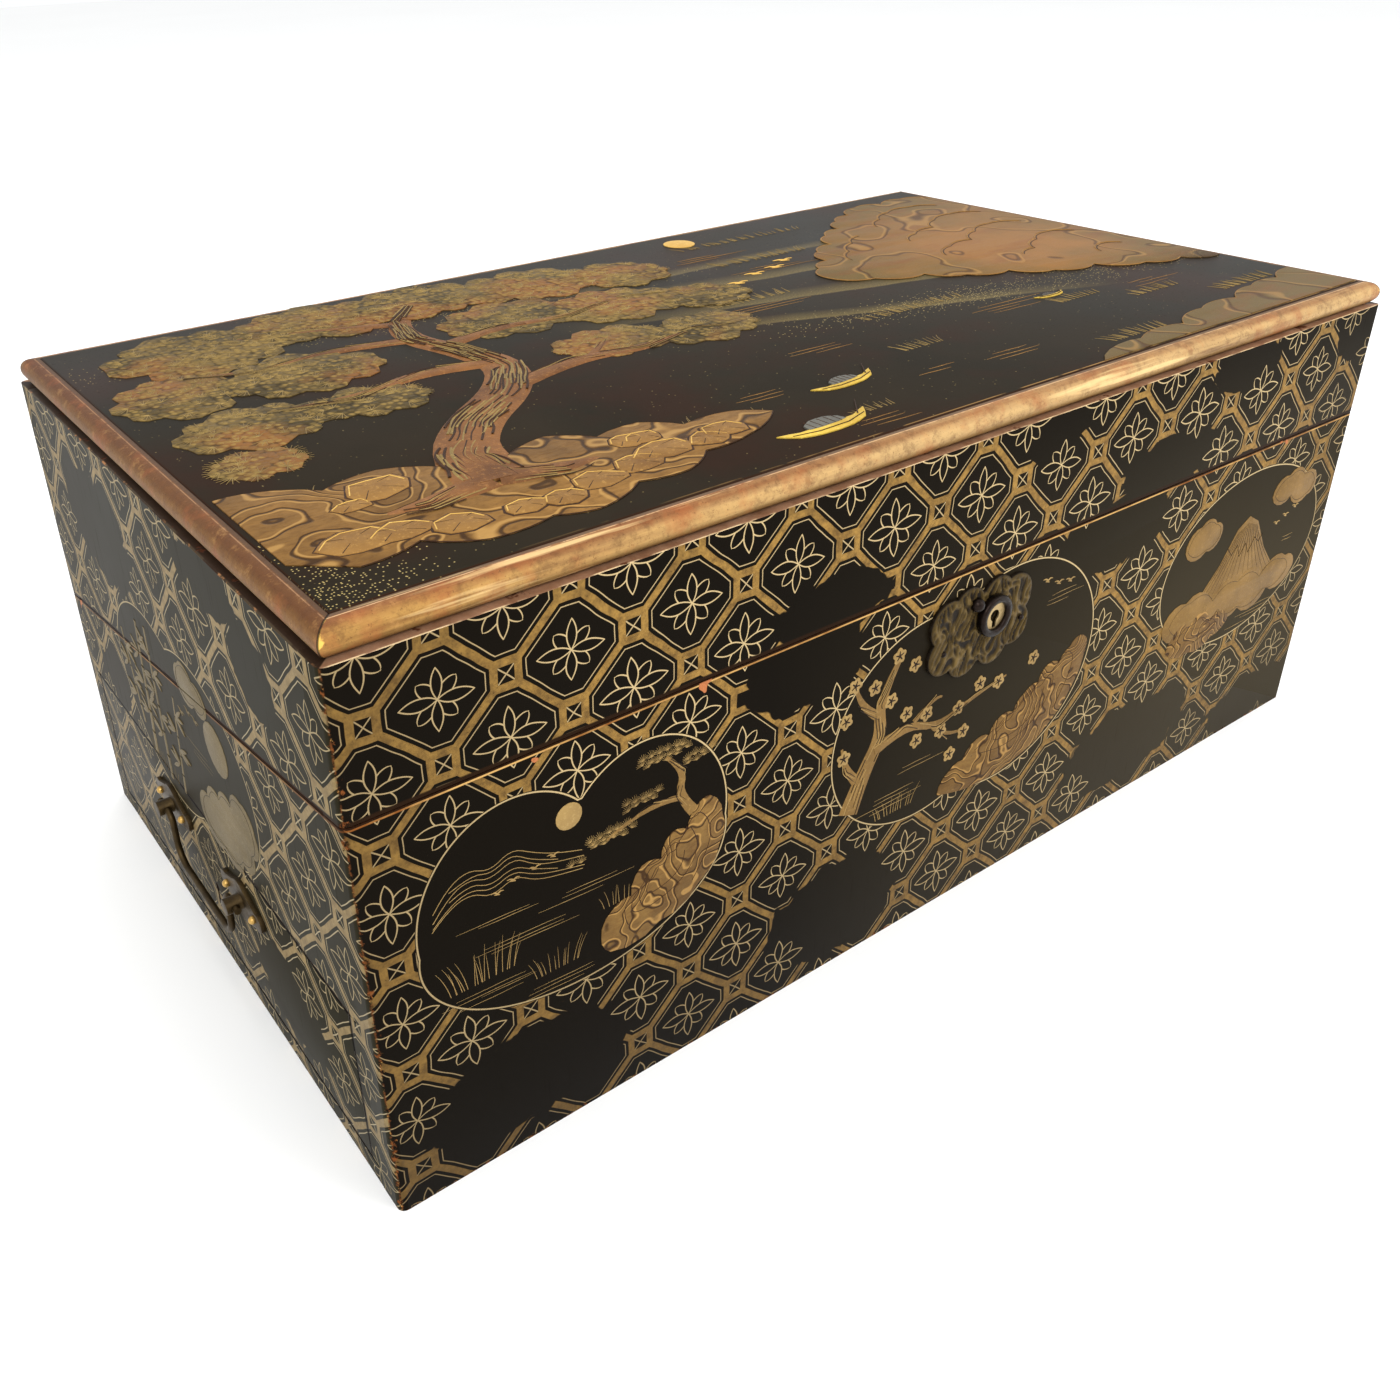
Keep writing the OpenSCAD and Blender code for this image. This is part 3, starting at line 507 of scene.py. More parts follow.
def gilding(name, way, light, deep, bared, painted_light_tone, flat_tone, crest_highlight_tone):
    """Worn gilding over red bole on a moulding, striped along its profile, with painted shade above and
    below a lit band, a painted highlight on its crest and painted light towards its far end; way is its own
    direction.
    """
    run = (0.05, 1, 1) if way == "x" else (1, 0.05, 1)
    paint = Paint(name, Specular_IOR_Level=0.12)
    to_side = half_w - abs(paint.x)
    to_front = half_d - abs(paint.y)
    inset = to_front if way == "x" else to_side
    along = paint.x if way == "x" else 0 - paint.y
    height = paint.z - wall_top
    streak = paint.noise(0.3, 5.0, stretch=run, rough=0.66)
    broad = paint.noise(0.035, 3.0, stretch=run)
    patch = paint.noise(0.07, 4.0, rough=0.65)
    fleck = paint.noise(1.3, 4.0, rough=0.72)
    mottle = paint.noise(0.22, 5.0, rough=0.75)
    drift = (paint.noise(0.03, 3.0, stretch=run) - 0.5) * 2.4
    # Painted shade on the roll's upper part, streaked like the bole showing through, less of it towards the
    # right
    upper_shade = (2.4 - inset + drift * 0.5).within(1.5) * (1 - along.over(-200, 0) * 0.35)
    # Painted shade on the roll's lower part
    low = (height - 3.0 + drift).within(1.6)
    # Painted highlight: a broken bright line along the roll's crest
    crest_highlight = (abs(inset - 5.5) - 0.16).within(0.15) * paint.noise(0.1, 4.0, rough=0.7).over(0.4, 0.5)
    # Painted light: the gold grows lighter along the moulding towards its far end
    tone = paint.coats(
        light, (streak.over(0.38, 0.62), deep), (along.over(-200, -40) * (1.05 - streak * 0.7), painted_light_tone),
        (upper_shade * streak.over(0.0, 0.5), bared), (mottle.over(0.5, 0.62) * 0.4, (82, 50, 28)),
        (mottle.over(0.44, 0.34) * 0.3, (186, 140, 84)), (low * 0.65, (112, 88, 50)),
        (patch.over(0.5, 0.68) * 0.6, (146, 82, 44)), ((5.9 - inset).within(0.3) * 0.85, flat_tone),
        (crest_highlight * 0.7, crest_highlight_tone), (fleck.over(0.58, 0.72) * 0.75, (74, 42, 24)),
        ((broad - 0.36).within(0.06) * streak.over(0.45, 0.6) * 0.7, (88, 54, 32)))
    mitre = abs(to_side - to_front) * math.sqrt(0.5)
    joint = (mitre - 0.24).within(0.2)
    if way == "x":
        pale = paint.noise(0.16, 4.0, stretch=run).over(0.6, 0.66)
        chip = (mitre + abs(height - 5.4) * 0.7 - 2.3 + (patch - 0.5) * 6 + fleck * 1.4).within(0.4)
        tone = paint.coats(tone, (pale * 0.6, (234, 200, 140)), (chip, (222, 178, 86)))
    dark = joint.larger((height - 0.25).within(0.3)).larger((inset - 7.0).over(0.0, 0.15))
    tone = paint.blend(dark * 0.9, tone, BROWN_BLACK)
    return paint.finish(Base_Color=tone, Metallic=0.3 - fleck * 0.2, Roughness=0.38 + fleck * 0.24,
                        height=fleck * 0.07 + streak * 0.16 + broad * 0.3 - joint * 0.2)


def ledge_gilding(name):
    """The walls' top edge outside the moulding: dull gold, bright along the front, dark at the ends."""
    paint = Paint(name, Specular_IOR_Level=0.06)
    to_side = half_w - abs(paint.x)
    to_front = half_d - abs(paint.y)
    at_end = (to_side - to_front).within(0.5)
    cloud = paint.noise(0.12, 4.0, rough=0.7)
    rubbed = (to_side.smaller(to_front) - 0.5).within(0.3) * paint.noise(0.1, 4.0).over(0.4, 0.52)
    bared = paint.noise(0.09, 4.0, rough=0.7).over(0.6, 0.65)
    tone = paint.coats((170, 132, 104), (cloud.over(0.3, 0.7), (128, 90, 64)), (rubbed, (240, 212, 166)),
                       (at_end * 0.95, (36, 25, 18)),
                       (at_end * rubbed * cloud.over(0.55, 0.6), (168, 118, 76)), (bared, (84, 46, 28)))
    return paint.finish(Base_Color=tone, Metallic=0.3 - bared * 0.3, Roughness=0.4 + cloud * 0.2,
                        height=cloud * 0.08 - bared * 0.1)


def metal(name, bright, dull, roughness, dirt=0.5, tarnish=0.5):
    """Old metal: bright where it is rubbed, dull and brown where it isn't."""
    paint = Paint(name, Specular_IOR_Level=0.5)
    cloud = paint.noise(0.16, 4.0, rough=0.65)
    pits = paint.noise(1.6, 4.0, rough=0.7)
    dirty = pits.over(0.55, 0.75)
    tone = paint.coats(bright, (cloud.over(0.3, 0.7) * tarnish, dull), (dirty * dirt, (34, 26, 16)))
    return paint.finish(Base_Color=tone, Metallic=0.9 - dirty * 0.4,
                        Roughness=roughness + cloud * 0.18, height=pits * 0.07)


def cast_metal(name, face_y):
    """Cast brass, rubbed on the tops of its relief and brown in its hollows."""
    paint = Paint(name, Specular_IOR_Level=0.1)
    raised = face_y - paint.y
    pits = paint.noise(1.1, 4.0, rough=0.7)
    cloud = paint.noise(0.12, 3.0)
    out_of_hollows = (raised + (pits - 0.5) * 0.2).over(0.02, 0.34)
    tops = (raised + (cloud - 0.5) * 0.3).over(0.42, 0.9)
    tone = paint.coats((22, 15, 7), (out_of_hollows, (68, 54, 28)), (tops, (112, 92, 54)))
    return paint.finish(Base_Color=tone, Metallic=out_of_hollows * 0.7, Roughness=0.4 + cloud * 0.2,
                        height=pits * 0.08)


def relief_gold(name, tone, shade, fleck_tone, shine=0.45):
    """Raised gold: powder over built-up lacquer."""
    paint = Paint(name, Specular_IOR_Level=0.08)
    cloud = paint.noise(0.05, 4.0, rough=0.6)
    powder = paint.noise(2.2, 3.0, rough=0.8)
    fleck = paint.noise(0.7, 4.0, rough=0.75)
    colour = paint.coats(tone, (cloud.over(0.32, 0.68), shade), (fleck.over(0.54, 0.72) * 0.75, fleck_tone))
    return paint.finish(Base_Color=colour, Metallic=shine - fleck * 0.25,
                        Roughness=0.4 + powder * 0.2, height=powder * 0.06 + fleck * 0.1)


# Shores on the lid's ground: where each crosses the lid's middle, how it leans and how wide it is
SHORES = ((62, -0.02, 9), (40, -0.14, 12), (10, -0.2, 14), (-14, -0.34, 11))


def picture_ground(name):
    """The lid's dark ground: handled lacquer, a gold thread along its edge and sprinkled gold."""
    paint = Paint(name, Specular_IOR_Level=0.018)
    rough, height, cloud = lacquer_ground(paint)
    colour = paint.coats((30, 27, 20), (cloud.over(0.3, 0.7), (42, 35, 26)),
                         (paint.noise(0.02, 4.0, rough=0.6).over(0.46, 0.66) * 0.6, (46, 28, 20)))
    powder = paint.noise(1.2, 3.0, rough=0.8).over(0.2, 0.6)
    waver = (paint.noise(0.03, 3.0, stretch=(0.4, 1.0, 1.0)) - 0.5) * 9
    for middle, lean, half in SHORES:
        inland = paint.y - middle - paint.x * lean + waver
        shore = inland.over(0, 1.2) * (1 - inland / half).larger(0.0)
        shore = shore * paint.x.over(-60, 20) * paint.x.over(150, 90) * powder
        colour = paint.blend(shore.smaller(1.0) * 0.85, colour, (116, 100, 60))
    dots = 0.95
    sprinkled = (paint.cell_chance(dots) - mist_density(paint)).within(0.04)
    sprinkled = sprinkled * (paint.cells(dots) / dots - 0.22).within(0.12)
    edge = (panel_high.x - abs(paint.x)).smaller(panel_high.y - abs(paint.y))
    thread = (abs(edge - 0.8) - 0.25).within(0.2) * paint.noise(0.05, 4.0).over(0.46, 0.54)
    thread = thread * paint.x.over(-190, 60)
    colour = paint.coats(colour, (sprinkled * 0.8, (184, 162, 104)), (thread * 0.6, (178, 136, 78)),
                         ((edge - 0.35).within(0.3) * 0.7, (52, 30, 18)))
    return paint.finish(Base_Color=colour, Roughness=rough + 0.02 + sprinkled * 0.1,
                        Metallic=sprinkled * 0.4, height=height + sprinkled * 0.03)


def mist_density(paint):
    """How thickly gold is sprinkled on the lid, from 0 to 1."""
    drift = paint.noise(0.02, 3.0, stretch=(0.4, 1.0, 1.0))
    corner = 1 - oval_reach(paint, paint.place, (-212, -112, 34, 40))[1]
    bank = 1 - abs(paint.y + 26 + paint.x * 0.12) / 16
    bank = bank.larger(0) * paint.x.over(-20, 90) * drift.over(0.3, 0.6)
    haze = (1 - abs(paint.y - 66 + paint.x * 0.1) / 13).larger(0) * paint.x.over(60, 0)
    return corner.larger(0) * 0.5 + bank * 0.75 + haze * drift.over(0.35, 0.7) * 0.45


def velvet(name):
    """Dark plum velvet, its nap crushed in places."""
    paint = Paint(name, Specular_IOR_Level=0.08, Sheen_Weight=0.2, Sheen_Roughness=0.5)
    nap = paint.noise(0.05, 3.0)
    pile = paint.noise(3.0, 2.0, rough=0.8)
    tone = paint.coats((50, 18, 28), (nap.over(0.2, 0.8), (66, 28, 38)),
                       (pile.over(0.5, 0.8) * 0.4, (28, 9, 15)))
    return paint.finish(Base_Color=tone, Roughness=0.85 + pile * 0.1, height=pile * 0.12 + nap * 0.2)


def ink_glass(name):
    """Thick old glass with a faint green in it."""
    paint = Paint(name, Transmission_Weight=0.9, IOR=1.5)
    seeds = paint.noise(0.5, 3.0)
    tone = paint.blend(seeds.over(0.3, 0.7), (222, 236, 228), (196, 216, 206))
    return paint.finish(Base_Color=tone, Roughness=0.04 + seeds * 0.06, height=seeds * 0.15)


front_lacquer = wall_lacquer("front_lacquer", "x", (-197.1, 162.6), FRONT_BARE,
                             (HEART, LOBED, ROUND), 1)
back_lacquer = wall_lacquer("back_lacquer", "x", (-178.0, 162.6), BACK_BARE, (), -1)
left_lacquer = wall_lacquer("left_lacquer", "y", (0.0, 158.8), LEFT_BARE, (LEFT_OVAL,), 1, PAINTED_LIGHT_END_TONES,
                            (drawer_low, drawer_high))
right_lacquer = wall_lacquer("right_lacquer", "y", (8.0, 158.8), RIGHT_BARE, (RIGHT_OVAL,), -1)
edge_lacquer = plain_lacquer("edge_lacquer", (44, 26, 16), (66, 38, 22), 0.4)
inner_lacquer = plain_lacquer("inner_lacquer", (32, 20, 14), (50, 30, 20), 0.34)
lid_lacquer = picture_ground("lid_lacquer")
softwood = bare_wood("softwood")
front_gilding = gilding("front_gilding", "x", (164, 124, 66), (116, 78, 40),
                        (126, 80, 46), (190, 158, 108), (94, 76, 60), (224, 186, 140))
# The ends' moulding: darker and browner than the front's, partly its own worn colour and partly painted
# shade for the grazing light on the ends
shaded_end_gilding = gilding("shaded_end_gilding", "y", (106, 72, 34), (76, 48, 24),
                      (90, 52, 28), (122, 84, 40), (80, 58, 40), (164, 124, 88))
ledge_gold = ledge_gilding("ledge_gold")
brass = metal("brass", (186, 150, 84), (122, 90, 44), 0.3)
bolt_brass = metal("bolt_brass", (160, 126, 68), (96, 70, 36), 0.36)
cast_brass = cast_metal("cast_brass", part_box("escutcheon")[0].y / MM)
face_brass = metal("face_brass", (184, 160, 114), (134, 110, 70), 0.34, 0.4, 0.5)
# Painted shade: the handle's brass darkened, as it sits in shade on the left end
shaded_handle_brass = metal("shaded_handle_brass", (74, 59, 34), (36, 27, 16), 0.4, 0.6, 0.7)
dark_iron = metal("dark_iron", (36, 26, 21), (18, 13, 10), 0.24, 0.5, 0.8)
nail_brass = metal("nail_brass", (196, 158, 88), (146, 110, 56), 0.3, 0.3, 0.4)
velvet_cloth = velvet("velvet_cloth")
glass = ink_glass("ink_glass")


# Finishes of the frame's own nodes
NODE_FINISHES = [
    (inner_lacquer, [
        "dust_board", "pen_divider", "well_divider_left", "well_divider_right", "tray_rest_left",
        "tray_rest_right", "pen_tray", "lid_leaf_stop", "base_leaf", "lid_leaf", "bottom_board"]),
    (softwood, [
        "drawer_runner_front", "drawer_runner_back", "drawer_side_front", "drawer_side_back",
        "drawer_back", "drawer_bottom"]),
    (brass, [
        "ink_cap_left", "ink_cap_right", "lock_case", "link_plate", "hinge_base_left",
        "hinge_base_right", "hinge_lid_left", "hinge_lid_right", "drawer_lock_case"]),
    (bolt_brass, ["lock_bolt", "drawer_lock_bolt", "hinge_pins", "base_leaf_pins", "lid_leaf_pins"]),
    (cast_brass, ["escutcheon"]),
    (shaded_handle_brass, ["handle_plate_front", "handle_plate_back", "bail"]),
    (nail_brass, ["handle_nails"]),
    (dark_iron, ["keyhole_collar", "escutcheon_studs"]),
    (glass, ["ink_bottle_left", "ink_bottle_right"]),
    (front_gilding, ["moulding_front", "moulding_back"]),
    (shaded_end_gilding, ["moulding_left", "moulding_right"]),
]
for finish, names in NODE_FINISHES:
    for name in names:
        materials = frame["nodes"][name].data.materials
        materials.clear()
        materials.append(finish)


def body_of(node):
    return frame["nodes"][node]["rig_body"]


def object_of(bm, name, materials):
    """An object in the scene of a finished bmesh, which is then gone."""
    mesh = bpy.data.meshes.new(name)
    bm.to_mesh(mesh)
    bm.free()
    for material in materials:
        mesh.materials.append(material)
    made = bpy.data.objects.new(name, mesh)
    bpy.context.scene.collection.objects.link(made)
    return made


def keep(bm, name, materials, body, sharp, stands_for=None):
    """Sets a piece on its body, smooth but for its edges past so many degrees."""
    for face in bm.faces:
        face.smooth = True
    piece = object_of(bm, name, materials)
    piece.data.set_sharp_from_angle(angle=math.radians(sharp))
    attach(piece, body)
    if stands_for:
        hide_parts(stands_for)
    return piece


def copy_of(node):
    """A merged copy of a node's mesh, its flat faces joined."""
    bm = bmesh.new()
    bm.from_mesh(frame["nodes"][node].data)
    bmesh.ops.remove_doubles(bm, verts=bm.verts, dist=0.002 * MM)
    bmesh.ops.dissolve_limit(bm, angle_limit=math.radians(0.5), verts=bm.verts, edges=bm.edges)
    return bm


# How far the arrises of the boards and of the picture panel are rounded, in millimetres
BOARD_ARRIS = 0.4
PANEL_ARRIS = 0.6


def soften(bm, width, chosen):
    """Rounds the sharp edges that the test chooses."""
    edges = [edge for edge in bm.edges if len(edge.link_faces) == 2
             and edge.calc_face_angle(0) > math.radians(35) and chosen(edge)]
    bmesh.ops.bevel(bm, geom=edges, offset=width * MM, offset_type="OFFSET", segments=2, profile=0.5,
                    affect="EDGES", clamp_overlap=True, material=-1)


def cut(bm, place, way, clear=False):
    """Cuts through a bmesh by a plane and, if told to, clears what lies the plane's way."""
    bmesh.ops.bisect_plane(bm, geom=bm.verts[:] + bm.edges[:] + bm.faces[:], plane_co=place,
                           plane_no=way, clear_outer=clear)


# Lacquered boards, and the finishes that their faces take
BOARD_FINISHES = [front_lacquer, back_lacquer, left_lacquer, right_lacquer, edge_lacquer, inner_lacquer,
                  ledge_gold]


def level_edge(edge):
    """Edges that run along the board; the joints between boards stay flush under the lacquer."""
    way = (edge.verts[1].co - edge.verts[0].co).normalized()
    return edge.calc_length() > 2.2 * MM and abs(way.z) < 0.5


def long_edge(edge):
    return edge.calc_length() > 8 * MM


BOARDS = [
    "base_front_board", "base_back_board", "base_right_end", "base_left_apron", "left_bottom_rail",
    "lid_front_board", "lid_back_board", "lid_left_end", "lid_right_end", "drawer_guide_front",
    "drawer_guide_back",
]


def board_finish(face):
    """The finish that a board's face takes from where it lies and which way it looks."""
    middle = face.calc_center_median() / MM
    normal = face.normal
    if normal.z > 0.3 and middle.z > wall_top - 1:
        return ledge_gold
    if abs(normal.z) > 0.975:
        from_side = min(half_w - abs(middle.x), half_d - abs(middle.y))
        return edge_lacquer if from_side < wall_t + 1 else inner_lacquer
    if abs(normal.y) > abs(normal.x) and abs(middle.y) > half_d - 3:
        return front_lacquer if middle.y < 0 else back_lacquer
    if abs(normal.x) > 0.5 and abs(middle.x) > half_w - 3:
        return left_lacquer if middle.x < 0 else right_lacquer
    return inner_lacquer


def lacquered_board(node, chosen):
    bm = copy_of(node)
    soften(bm, BOARD_ARRIS, chosen)
    finishes = [board_finish(face) for face in bm.faces]
    used = [finish for finish in BOARD_FINISHES if finish in finishes]
    for face, finish in zip(bm.faces, finishes):
        face.material_index = used.index(finish)
    keep(bm, node + "_lacquered", used, body_of(node), 30, node)


for node in BOARDS:
    lacquered_board(node, level_edge)
lacquered_board("drawer_front", long_edge)


def picture_panel():
    bm = copy_of("lid_panel")
    soften(bm, PANEL_ARRIS, long_edge)
    for face in bm.faces:
        face.material_index = 1 if face.normal.z < -0.9 else 0
    keep(bm, "picture_panel", [lid_lacquer, inner_lacquer], "lid", 30, "lid_panel")


picture_panel()


# Gold drawing on the box
FACES = {
    "top": Matrix.Translation((0, 0, top_z)),
    "front": Matrix.Translation((0, -half_d, 0)) @ Matrix.Rotation(math.pi / 2, 4, "X"),
    "left": (Matrix.Translation((-half_w, 0, 0)) @ Matrix.Rotation(-math.pi / 2, 4, "Z")
             @ Matrix.Rotation(math.pi / 2, 4, "X")),
    "right": (Matrix.Translation((half_w, 0, 0)) @ Matrix.Rotation(math.pi / 2, 4, "Z")
              @ Matrix.Rotation(math.pi / 2, 4, "X")),
}

# How far the drawing reaches into the lacquer, in millimetres
SUNK = 0.1


def new_curve(dimensions, **settings):
    curve = bpy.data.curves.new("drawing", "CURVE")
    curve.dimensions = dimensions
    for name, value in settings.items():
        setattr(curve, name, value)
    return curve


def curve_mesh(curve):
    """A closed bmesh of a curve, which is then gone."""
    carrier = bpy.data.objects.new("drawing", curve)
    mesh = bpy.data.meshes.new_from_object(carrier)
    bm = bmesh.new()
    bm.from_mesh(mesh)
    bpy.data.objects.remove(carrier)
    bpy.data.curves.remove(curve)
    bpy.data.meshes.remove(mesh)
    bmesh.ops.remove_doubles(bm, verts=bm.verts, dist=0.003)
    bmesh.ops.recalc_face_normals(bm, faces=bm.faces)
    return bm


def filled(corners, height, edge, swell=0.0, steps=5):
    """A flat raised shape. Its sides bow outwards by swell times their length, corners anticlockwise."""
    half = max((height + SUNK) / 2 - edge, 0.01)
    curve = new_curve("2D", fill_mode="BOTH", resolution_u=steps if swell else 1, bevel_depth=edge,
                      bevel_resolution=1, offset=-edge, extrude=half)
    spline = curve.splines.new("BEZIER")
    spline.use_cyclic_u = True
    spline.bezier_points.add(len(corners) - 1)
    places = [Vector((*corner[:2], 0)) for corner in corners]
    bows = [(corner[2] if len(corner) > 2 else swell) * 1.3 for corner in corners]
    for number, point in enumerate(spline.bezier_points):
        here = places[number]
        before = here - places[number - 1]
        after = places[(number + 1) % len(places)] - here
        point.co = here
        point.handle_left_type = point.handle_right_type = "FREE"
        point.handle_right = here + after * 0.22 + outwards(after) * bows[number]
        point.handle_left = here - before * 0.22 + outwards(before) * bows[number - 1]
    bm = curve_mesh(curve)
    bmesh.ops.translate(bm, vec=(0, 0, height - edge - half), verts=bm.verts)
    return bm


def outwards(side):
    return Vector((side.y, -side.x, 0))


def strokes(lines, flat=0.5, sides=0, smooth=True):
    """Tapered brush lines; each is a list of places across and up with the half width there."""
    curve = new_curve("3D", bevel_depth=1.0, bevel_resolution=sides, use_fill_caps=True, resolution_u=4)
    for line in lines:
        spline = curve.splines.new("NURBS" if smooth else "POLY")
        spline.points.add(len(line) - 1)
        for point, (across, up, half) in zip(spline.points, line):
            point.co = (across, up, 0, 1)
            point.radius = half
        if smooth:
            spline.order_u = 3
            spline.use_endpoint_u = True
    bm = curve_mesh(curve)
    bmesh.ops.scale(bm, vec=(1, 1, flat), verts=bm.verts)
    return bm


class Hand(random.Random):
    """The chance in a hand's drawing, the same at each run."""

    def stray(self, reach):
        return self.uniform(-reach, reach)


class Relief:
    """A gold drawing on one face of the box, in millimetres across and up that face."""

    def __init__(self, face, seed):
        self.face = face
        self.hand = Hand(seed)
        self.layers = {}

    def add(self, gold, bm, lift=0.0):
        """Adds a shape to the layer of that gold."""
        bmesh.ops.translate(bm, vec=(0, 0, lift), verts=bm.verts)
        mesh = bpy.data.meshes.new("layer")
        bm.to_mesh(mesh)
        bm.free()
        if gold.name not in self.layers:
            self.layers[gold.name] = (gold, bmesh.new())
        self.layers[gold.name][1].from_mesh(mesh)
        bpy.data.meshes.remove(mesh)

    def build_up(self, gold, corners, height, edge, swell=0.0, steps=5):
        """Adds a flat raised shape, as filled makes it."""
        self.add(gold, filled(corners, height, edge, swell, steps))

    def draw(self, gold, lines, flat=0.5, lift=0.0, sides=0, smooth=True):
        """Adds tapered lines, as strokes makes them."""
        self.add(gold, strokes(lines, flat, sides, smooth), lift)

    def lay(self, name, body, cuts=()):
        """Sets the layers on the box as pieces of one body, without what lies past the cuts."""
        for gold, layer in self.layers.values():
            bm = layer.copy()
            for place, outer in cuts:
                cut(bm, place, outer, clear=True)
                bmesh.ops.holes_fill(bm, edges=[edge for edge in bm.edges if edge.is_boundary])
            if not bm.faces:
                bm.free()
                continue
            bmesh.ops.transform(bm, matrix=Matrix.Scale(MM, 4) @ FACES[self.face], verts=bm.verts)
            keep(bm, name + "_" + gold.name, [gold], body, 40)


def away(place, turn, across, up=None):
    """The place that lies so far across and up from another, in the direction turn."""
    up = across if up is None else up
    return place[0] + math.cos(turn) * across, place[1] + math.sin(turn) * up


def ring(middle, across, up, count, hand, rough=0.08):
    """Corners round an oval, each a little out of its place."""
    corners = []
    for number in range(count):
        turn = 2 * math.pi * (number + hand.stray(0.2)) / count
        reach = 1 + hand.stray(rough)
        corners.append(away(middle, turn, across * reach, up * reach))
    return corners


def between(start, end, share):
    """The numbers that lie at that share of the way from start to end."""
    return tuple(first + (last - first) * share for first, last in zip(start, end))


def middle_of(corners):
    return tuple(sum(corner[axis] for corner in corners) / len(corners) for axis in (0, 1))


# Motifs
def pine_pads(relief, gold, pads, needle, half):
    """Cushions of pine needles, each given as its middle and its half width and height."""
    for across, up, wide, high in pads:
        needles = pad_needles(relief.hand, (across, up), wide, high, needle, half)
        relief.draw(gold, needles, 0.7, 0.02, smooth=False)


def pad_needles(hand, middle, wide, high, needle, half):
    """Rows of needles, each root a fan that opens upwards."""
    needles = []
    rows = max(1, round(high * 2 / (needle * 0.72)))
    for row in range(rows):
        height = -high * 0.85 + (row + 0.3) * 2 * high * 0.8 / rows
        reach = wide * math.sqrt(max(0.0, 1 - (height / high) ** 2))
        count = max(1, round(reach * 2 / (needle * 1.15)))
        for number in range(count):
            share = (number + 0.5 + hand.stray(0.2) + (row % 2) * 0.3) / count - 0.5
            root = (middle[0] + share * 2 * reach, middle[1] + height + hand.stray(0.4))
            lean = math.pi / 2 - share * 0.9 + hand.stray(0.15)
            for spoke in range(-4, 5):
                length = needle * (1 - abs(spoke) * 0.05) * hand.uniform(0.88, 1.08)
                tip = away(root, lean + spoke * 0.3, length)
                needles.append([(*root, half * 0.7), (*tip, half * 0.45)])
    return needles


def fan(root, lean, spread, length, half):
    """Seven needles that open from one root."""
    needles = []
    for spoke in range(7):
        tip = away(root, lean + spread * (spoke / 6 - 0.5), length)
        needles.append([(*root, half), (*tip, half * 0.5)])
    return needles


def leaf_mass(relief, golds, middle, across, up, height, half):
    """A raised mass of foliage, with fans of needles over it and along its rim."""
    leaves, tips = golds
    hand = relief.hand
    corners = ring(middle, across, up, max(9, round((across + up) / 4.5)), hand, 0.13)
    relief.build_up(leaves, corners, height, height * 0.35, 0.34, 3)
    needles = []
    for corner, after in zip(corners, corners[1:] + corners[:1]):
        root = between(between(corner, after, 0.5), middle, 0.08)
        needles += fan(root, math.atan2(root[1] - middle[1], root[0] - middle[0]), 2.2, 5, half)
    for _ in range(round(across * up / 16)):
        turn = hand.uniform(0, 2 * math.pi)
        reach = math.sqrt(hand.random()) * 0.85
        root = away(middle, turn, across * reach, up * reach)
        needles += fan(root, math.pi / 2 + hand.stray(0.5), 2.4, 4.4, half)
    relief.draw(tips, needles, 0.6, height, smooth=False)


def rock(relief, golds, middle, across, up, height, line):
    """An angular stone: dark round its foot, with a light rim and clefts that meet at its crown."""
    body, light, dark = golds
    corners = ring(middle, across, up, 8, relief.hand, 0.17)
    foot = [(*corner, line * 2) for corner in corners + corners[:1]]
    face = [between(corner, middle, 0.04) for corner in corners]
    crown = (middle[0] + relief.hand.stray(0.2) * across, middle[1] + up * 0.25)
    rim = [(*between(corner, middle, 0.14), line * 0.8) for corner in corners[:5]]
    clefts = [[(*between(corner, middle, 0.18), line * 0.7), (*between(corner, crown, 0.7), line * 0.4)]
              for corner in corners[1:8:2]]
    relief.draw(dark, [foot], 0.3, height * 0.55, smooth=False)
    relief.build_up(body, face, height, height * 0.35, 0.03, 2)
    relief.draw(light, [rim], 0.5, height, smooth=False)
    relief.draw(dark, clefts, 0.4, height, smooth=False)


def crag(relief, golds, corners, height, line, rings):
    """Rocky ground in flat gold with contours engraved in it."""
    body, dark = golds
    relief.build_up(body, corners, height, height * 0.4, 0.14, 3)
    middle = middle_of(corners)
    corners = [corner[:2] for corner in corners]
    engraved = []
    for number in range(rings):
        share = 0.2 + 0.6 * number / rings
        first = relief.hand.randrange(len(corners))
        run = (corners + corners)[first:first + len(corners) * 2 // 3]
        engraved.append([(*between(corner, middle, share), line) for corner in run])
    relief.draw(dark, engraved, 0.6, height)


def hill_lines(relief, gold, ridge, drop, rows, half):
    """Far hills drawn in rows of fine wavering lines."""
    hand = relief.hand
    lines = []
    for row in range(rows):
        start = hand.randrange(2)
        end = len(ridge) - hand.randrange(2)
        line = []
        for number, (across, up) in enumerate(ridge):
            fall = drop * row * (1 - abs(number / len(ridge) - 0.5) * 0.8)
            line.append((across + hand.stray(0.5), up - fall + hand.stray(0.5), half))
        lines.append(line[start:end])
    relief.draw(gold, lines)


def rock_pile(relief, golds, start, end, count, size, height, line):
    """Stones heaped along a line, the nearer ones over the farther."""
    hand = relief.hand
    for number in range(count):
        across, up = between(start, end, (number + hand.uniform(0.2, 0.8)) / count)
        grown = size * hand.uniform(0.6, 1.15)
        up += hand.stray(0.35) * size
        rock(relief, golds, (across, up), grown, grown * hand.uniform(0.6, 0.8),
             height + number % 5 * 0.05, line)


